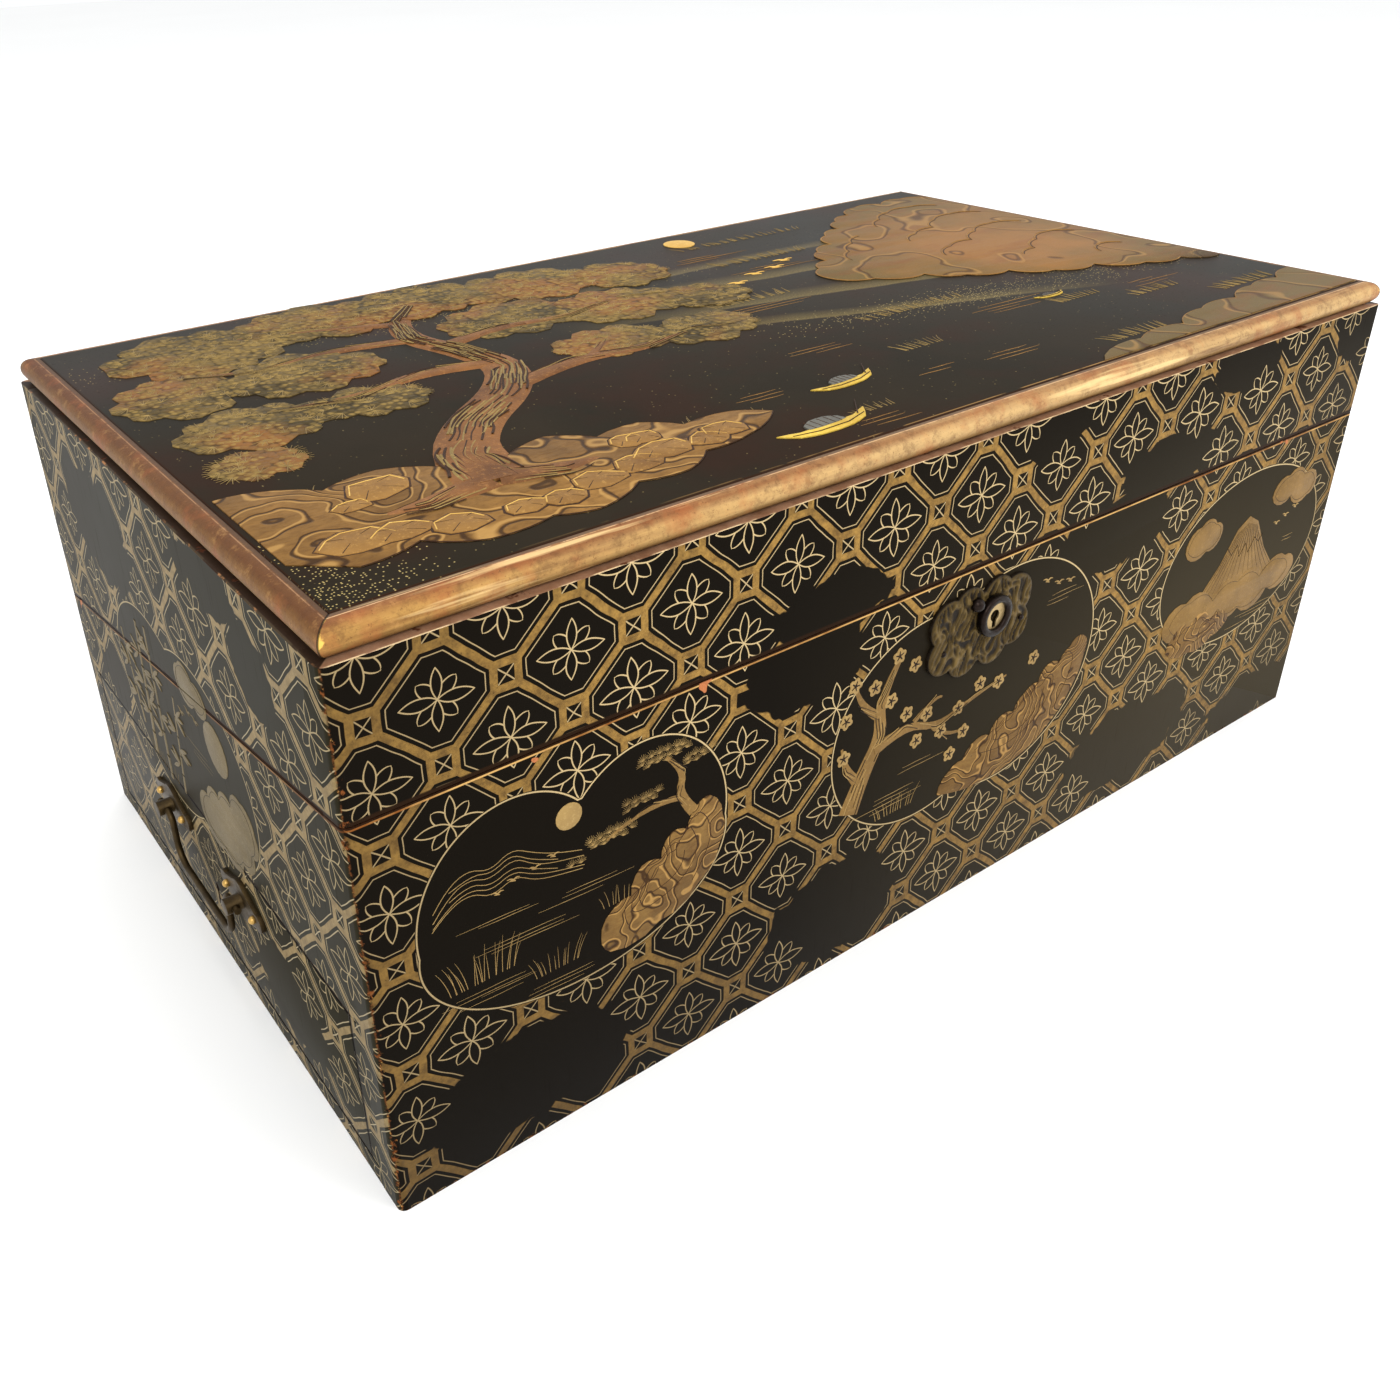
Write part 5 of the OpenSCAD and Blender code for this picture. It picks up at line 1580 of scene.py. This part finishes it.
def cast_height(across, up, depth):
    """How far the cast face stands out, depth in from its edge: waves like bark inside a thin rim."""
    drift = noise.noise(Vector((across * 0.11, up * 0.1, 3.0))) * 2.4
    waves = 1 - abs(noise.noise(Vector((across * 0.46 + drift, up * 0.16 + drift * 0.6, 0.0)))) * 2.6
    knots = noise.noise(Vector((across * 0.45, up * 0.32, 7.0)))
    raised = max(0.0, waves) ** 1.3 * 0.75 + max(0.0, knots) * 0.35
    inside = min(1.0, max(0.0, (depth - 0.5) / 0.8))
    return 0.4 * (1 - inside) * min(1.0, depth / 0.35) + raised * inside


def softened_metal(node, width, material):
    """A metal part with its arrises rubbed round."""
    bm = copy_of(node)
    soften(bm, width, lambda edge: True)
    keep(bm, node + "_rubbed", [material], body_of(node), 35, node)


def keyhole_face():
    """A bright brass face sunk in the collar, open where the key goes in."""
    low, high = (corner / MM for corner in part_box("keyhole_collar"))
    reach = 5.0
    rim = [away((0, 0), math.radians(angle), reach) for angle in range(0, 360, 10)]
    opening = [away((0, 0), math.radians(angle), 2.1) for angle in range(-60, 241, 20)]
    opening += [(-0.8, -reach * 0.9), (0.8, -reach * 0.9)]
    curve = new_curve("2D", fill_mode="BOTH", extrude=0.25)
    for outline in (rim, opening):
        spline = curve.splines.new("POLY")
        spline.use_cyclic_u = True
        spline.points.add(len(outline) - 1)
        for point, (across, up) in zip(spline.points, outline):
            point.co = (across, up, 0, 1)
    bm = curve_mesh(curve)
    middle = (low + high) / 2
    place = Matrix.Translation((middle.x, low.y + 1.7, middle.z)) @ Matrix.Rotation(math.pi / 2, 4, "X")
    bmesh.ops.transform(bm, matrix=Matrix.Scale(MM, 4) @ place, verts=bm.verts)
    keep(bm, "keyhole_face", [face_brass], body_of("keyhole_collar"), 30)


cast_escutcheon()
keyhole_face()
softened_metal("keyhole_collar", 0.9, dark_iron)
softened_metal("handle_plate_front", 0.2, shaded_handle_brass)
softened_metal("handle_plate_back", 0.2, shaded_handle_brass)


# Writing cloths
def writing_cloth(leaf, side):
    """Velvet laid in a leaf, a little drawn in at its edges."""
    node = leaf + "_cloth"
    thin = 0.3
    solid = copy_of(node)
    sizes = [edge.calc_length() for edge in solid.edges]
    solid.free()
    low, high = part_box(node)
    width = high.x - low.x
    thick = min(sizes)
    length = max(size for size in sizes if abs(size - width) > 1 * MM)
    bm = bmesh.new()
    bmesh.ops.create_grid(bm, x_segments=96, y_segments=48, size=0.5)
    bmesh.ops.scale(bm, vec=(width, length, 1), verts=bm.verts)
    for vert in bm.verts:
        edge_gap = min(width / 2 - abs(vert.co.x), length / 2 - abs(vert.co.y))
        droop = min(1.0, edge_gap / (3 * MM))
        wrinkle = noise.noise(Vector((vert.co.x * 30, vert.co.y * 16, side)))
        vert.co.z = (droop ** 0.5 - 1) * 0.3 * MM + wrinkle * 0.12 * MM * droop
    bmesh.ops.solidify(bm, geom=bm.faces[:], thickness=thin * MM)
    bmesh.ops.recalc_face_normals(bm, faces=bm.faces)
    middle = (low + high) / 2
    turn = Matrix.Translation(middle) @ Matrix.Rotation(-split_angle, 4, "X")
    if side < 0:
        turn = turn @ Matrix.Rotation(math.pi, 4, "Y")
    lift = Matrix.Translation((0, 0, thick / 2 - thin * MM / 2))
    bmesh.ops.transform(bm, matrix=turn @ lift, verts=bm.verts)
    piece = keep(bm, leaf + "_velvet", [velvet_cloth], body_of(node), 180, node)


writing_cloth("base_leaf", 1)
writing_cloth("lid_leaf", -1)


# Studio
def studio():
    paint = Paint("floor_paper", Specular_IOR_Level=0.2)
    tone = paint.blend(paint.noise(0.002, 2.0), (246, 246, 245), (250, 250, 249))
    paper = paint.finish(Base_Color=tone, Roughness=0.9)
    bm = bmesh.new()
    bmesh.ops.create_grid(bm, x_segments=8, y_segments=8, size=6)
    floor = object_of(bm, "floor", [paper])
    world = bpy.data.worlds.new("studio")
    world.use_nodes = True
    background = world.node_tree.nodes["Background"]
    background.inputs["Color"].default_value = (0.98, 0.99, 1.0, 1.0)
    background.inputs["Strength"].default_value = 1.02
    bpy.context.scene.world = world
    for name, place, aim, size, power in (
        ("key", (-1.3, -1.5, 1.7), (0, 0, 0.1), 1.1, 27),
        ("fill", (1.1, -1.5, 1.1), (0.1, 0, 0.1), 1.4, 20),
        ("overhead", (0.2, 0.5, 2.4), (0, 0, 0.1), 1.8, 22),
    ):
        light = bpy.data.lights.new(name, "AREA")
        light.size = size
        light.energy = power
        lamp = bpy.data.objects.new(name, light)
        lamp.location = place
        lamp.rotation_euler = (Vector(aim) - Vector(place)).to_track_quat("-Z", "Y").to_euler()
        bpy.context.scene.collection.objects.link(lamp)


def photo_camera():
    """The camera of the photograph, fitted to the box's corners."""
    data = bpy.data.cameras.new("photo_camera")
    data.sensor_width = 36
    data.lens = 33.48
    data.shift_x = 0.0661
    data.shift_y = -0.0606
    data.clip_start = 0.01
    camera = bpy.data.objects.new("photo_camera", data)
    camera.location = (-0.3120, -0.3640, 0.3267)
    camera.rotation_euler = Euler([math.radians(turn) for turn in (61.2595, 1.45, -35.5573)])
    bpy.context.scene.collection.objects.link(camera)
    bpy.context.scene.camera = camera


studio()
photo_camera()
bpy.context.scene.view_settings.view_transform = "Standard"
